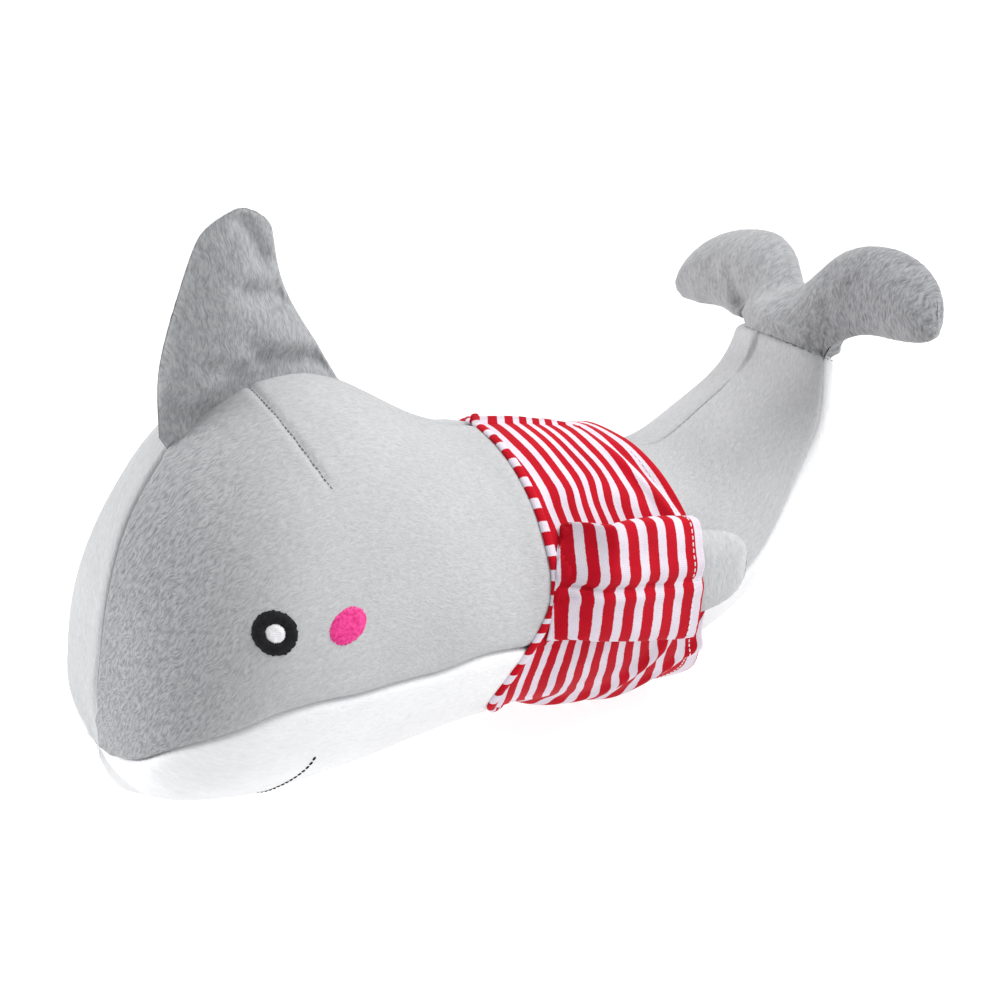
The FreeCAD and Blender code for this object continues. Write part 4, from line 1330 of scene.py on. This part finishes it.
def embroidered(name, tree, side, centre, inner, outer, raised, ridge, material, replaced,
                stretch=1.0, turn=0.0, radial=True, seed=0):
    """A patch of satin stitch: a ring or disc on the plush with a ridge for every thread."""
    random = np.random.default_rng(SEED + seed)
    around = 240
    rings = 26
    angles = np.linspace(0, 2 * math.pi, around, endpoint=False)
    ragged = smooth(np.tile(random.normal(size=around), 3), 0, 1.0)[around:2 * around]
    ragged_in = smooth(np.tile(random.normal(size=around), 3), 0, 1.0)[around:2 * around]
    shares = np.linspace(0, 1, rings)
    points = np.empty((rings, around, 3))
    outs = np.empty((rings, around, 3))
    flats = np.empty((rings, around, 2))
    for i, share in enumerate(shares):
        first = inner + 0.22 * MM * ragged_in * (1 if inner > 0 else 0)
        last = outer + 0.20 * MM * ragged
        reach = first + (last - first) * share
        across = reach * np.cos(angles) * stretch
        up = reach * np.sin(angles)
        flats[i, :, 0], flats[i, :, 1] = across, up
        y = centre[0] + across * math.cos(turn) - up * math.sin(turn)
        z = centre[1] + across * math.sin(turn) + up * math.cos(turn)
        starts = [(side * 0.2, y[j], z[j]) for j in range(around)]
        points[i], outs[i] = plush_points(tree, starts, (-side, 0, 0))
    outs = unit(smooth(smooth(outs, 0, 3), 1, 3))
    if radial:
        wave = np.cos(angles * 44 + 0.5 * ragged)[None, :] * np.ones((rings, 1))
    else:
        wave = np.cos(flats[..., 1] / ridge * 2 * math.pi + 0.3 * flats[..., 0] / ridge)
    if inner > 0:
        mound = np.sin(np.clip(shares, 0, 1) * math.pi) ** 0.45
    else:
        mound = (1 - shares ** 4) ** 0.5
    mound = mound[:, None]
    height = raised * mound + 0.07 * MM * wave * mound - 0.25 * MM * (1 - mound)
    points = points + outs * height[..., None]
    faces = grid_faces(rings, around, wrap=True)
    corner = np.cross(points[1, 1] - points[1, 0], points[2, 0] - points[1, 0])
    if corner @ outs[1, 0] < 0:
        faces = faces[:, ::-1]
    piece = mesh_object(name, points, faces, material, points)
    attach(piece, "body")
    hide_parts(replaced)


EYE_AT = (-119 * MM, 81 * MM)
EYE_RADIUS = 6.9 * MM
HIGHLIGHT_RADIUS = 3.0 * MM
CHEEK_AT = (-95.5 * MM, 79 * MM)
CHEEK_RADIUS = 5.3 * MM


def make_face(skins):
    """Eyes with white highlights, and the pink cheeks, on both sides."""
    for side, suffix in SIDES:
        tree = object_tree(skins[suffix])
        embroidered("eye_stitches_" + suffix, tree, side, EYE_AT, HIGHLIGHT_RADIUS - 0.2 * MM,
                    EYE_RADIUS, 0.95 * MM, 0.5 * MM, BLACK_THREAD,
                    "eye_ring_" + suffix, seed=1)
        embroidered("eye_highlight_stitches_" + suffix, tree, side, EYE_AT, 0, HIGHLIGHT_RADIUS,
                    0.75 * MM, 0.55 * MM, WHITE_THREAD, "eye_highlight_" + suffix,
                    radial=False, seed=2)
        embroidered("cheek_stitches_" + suffix, tree, side, CHEEK_AT, 0, CHEEK_RADIUS,
                    0.8 * MM, 0.6 * MM, PINK_THREAD, "cheek_patch_" + suffix,
                    stretch=1.36, turn=math.radians(26), radial=False, seed=3)


MOUTH_CENTRE_Y = 49 * MM
MOUTH_RADIUS = 166 * MM
MOUTH_HALF_ANGLE = math.radians(20)


def make_mouth(belly):
    """A smile of black backstitch across the underside of the head."""
    starts = [(MOUTH_RADIUS * math.sin(angle), MOUTH_CENTRE_Y - MOUTH_RADIUS * math.cos(angle), -0.1)
              for angle in np.linspace(-MOUTH_HALF_ANGLE, MOUTH_HALF_ANGLE, 140)]
    line, outs = plush_points(object_tree(belly), starts, (0, 0, 1))
    line[:, 2] = np.maximum(line[:, 2], 0.35 * MM)
    make_stitches("mouth_stitches", line, outs, MOUTH_STITCH, BLACK_THREAD, "body",
                  ("mouth_thread",))


# --- Studio -----------------------------------------------------------------------------

def area_light(name, place, target, size, power):
    """A square lamp turned towards a target."""
    light = bpy.data.lights.new(name, "AREA")
    light.size = size
    light.energy = power
    obj = bpy.data.objects.new(name, light)
    obj.location = place
    way = Vector(target) - Vector(place)
    obj.rotation_euler = way.to_track_quat("-Z", "Y").to_euler()
    bpy.context.scene.collection.objects.link(obj)


def floor_material():
    """Plain pale grey, lit a little from within."""
    material, tree, shader = new_material("studio_floor")
    place = add(tree, "ShaderNodeNewGeometry").outputs["Position"]
    mottle = noise(tree, place, 3.0)
    colour = ramp(tree, mottle, ((0.3, (0.27, 0.27, 0.27)), (0.7, (0.29, 0.29, 0.29))))
    feed(tree, shader, {"Base Color": colour, "Roughness": 0.9,
                        "Emission Color": (1.0, 1.0, 1.0, 1.0), "Emission Strength": 0.86})
    return material


def make_studio():
    """A pale floor, a white surround and soft lights."""
    half = 6.0
    corners = [(-half, -half, 0), (half, -half, 0), (half, half, 0), (-half, half, 0)]
    floor = mesh_object("studio_floor", corners, [[0, 1, 2, 3]], floor_material())
    world = bpy.data.worlds.new("studio")
    world.use_nodes = True
    background = world.node_tree.nodes["Background"]
    background.inputs["Color"].default_value = (1.0, 1.0, 1.0, 1.0)
    background.inputs["Strength"].default_value = 0.52
    bpy.context.scene.world = world
    middle = (0, 0, 0.07)
    area_light("key", (0.45, 0.75, 1.15), middle, 0.9, 20.0)
    area_light("front", (-0.75, -1.15, 0.5), middle, 0.8, 15.0)
    bpy.context.scene.view_settings.view_transform = "Standard"


def make_camera():
    """The photograph's angle: 57 degrees round from the nose, 21 degrees above."""
    azimuth = math.radians(57)
    elevation = math.radians(21)
    target = Vector((0, 0, 82 * MM))
    way = Vector((math.cos(elevation) * math.sin(azimuth),
                  -math.cos(elevation) * math.cos(azimuth), math.sin(elevation)))
    camera = bpy.data.cameras.new("camera")
    camera.sensor_width = 36.0
    camera.lens = 72.0
    obj = bpy.data.objects.new("camera", camera)
    obj.location = target + way * 0.72
    obj.rotation_euler = (-way).to_track_quat("-Z", "Y").to_euler()
    bpy.context.scene.collection.objects.link(obj)
    bpy.context.scene.camera = obj


def hide_stuffing():
    """The filling is inside the plush, so the skins stand for it."""
    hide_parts("body_stuffing", "tail_stuffing")
    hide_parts("dorsal_fin_stuffing")
    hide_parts("fluke_stuffing")
    for _, suffix in SIDES:
        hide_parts("flipper_stuffing_" + suffix)


def make_toy():
    """Every piece of the toy, in an order that lets each one use the pieces before it."""
    skins = make_body()
    make_fin()
    make_fluke()
    shirt_points, shirt_normals = make_shirt()
    for side, suffix in SIDES:
        make_flipper(side, suffix)
        make_sleeve(side, suffix, shirt_points)
    make_hem_stitches("shirt_hem_stitches", shirt_points + 0.05 * MM, shirt_normals, SHIRT_LENGTH,
                      "body", "shirt_hem_thread")
    make_binding(shirt_points, shirt_normals)
    make_face(skins)
    make_dart_stitches(skins)
    make_back_stitches()
    make_mouth(skins["belly"])
    hide_stuffing()


make_toy()
make_studio()
make_camera()
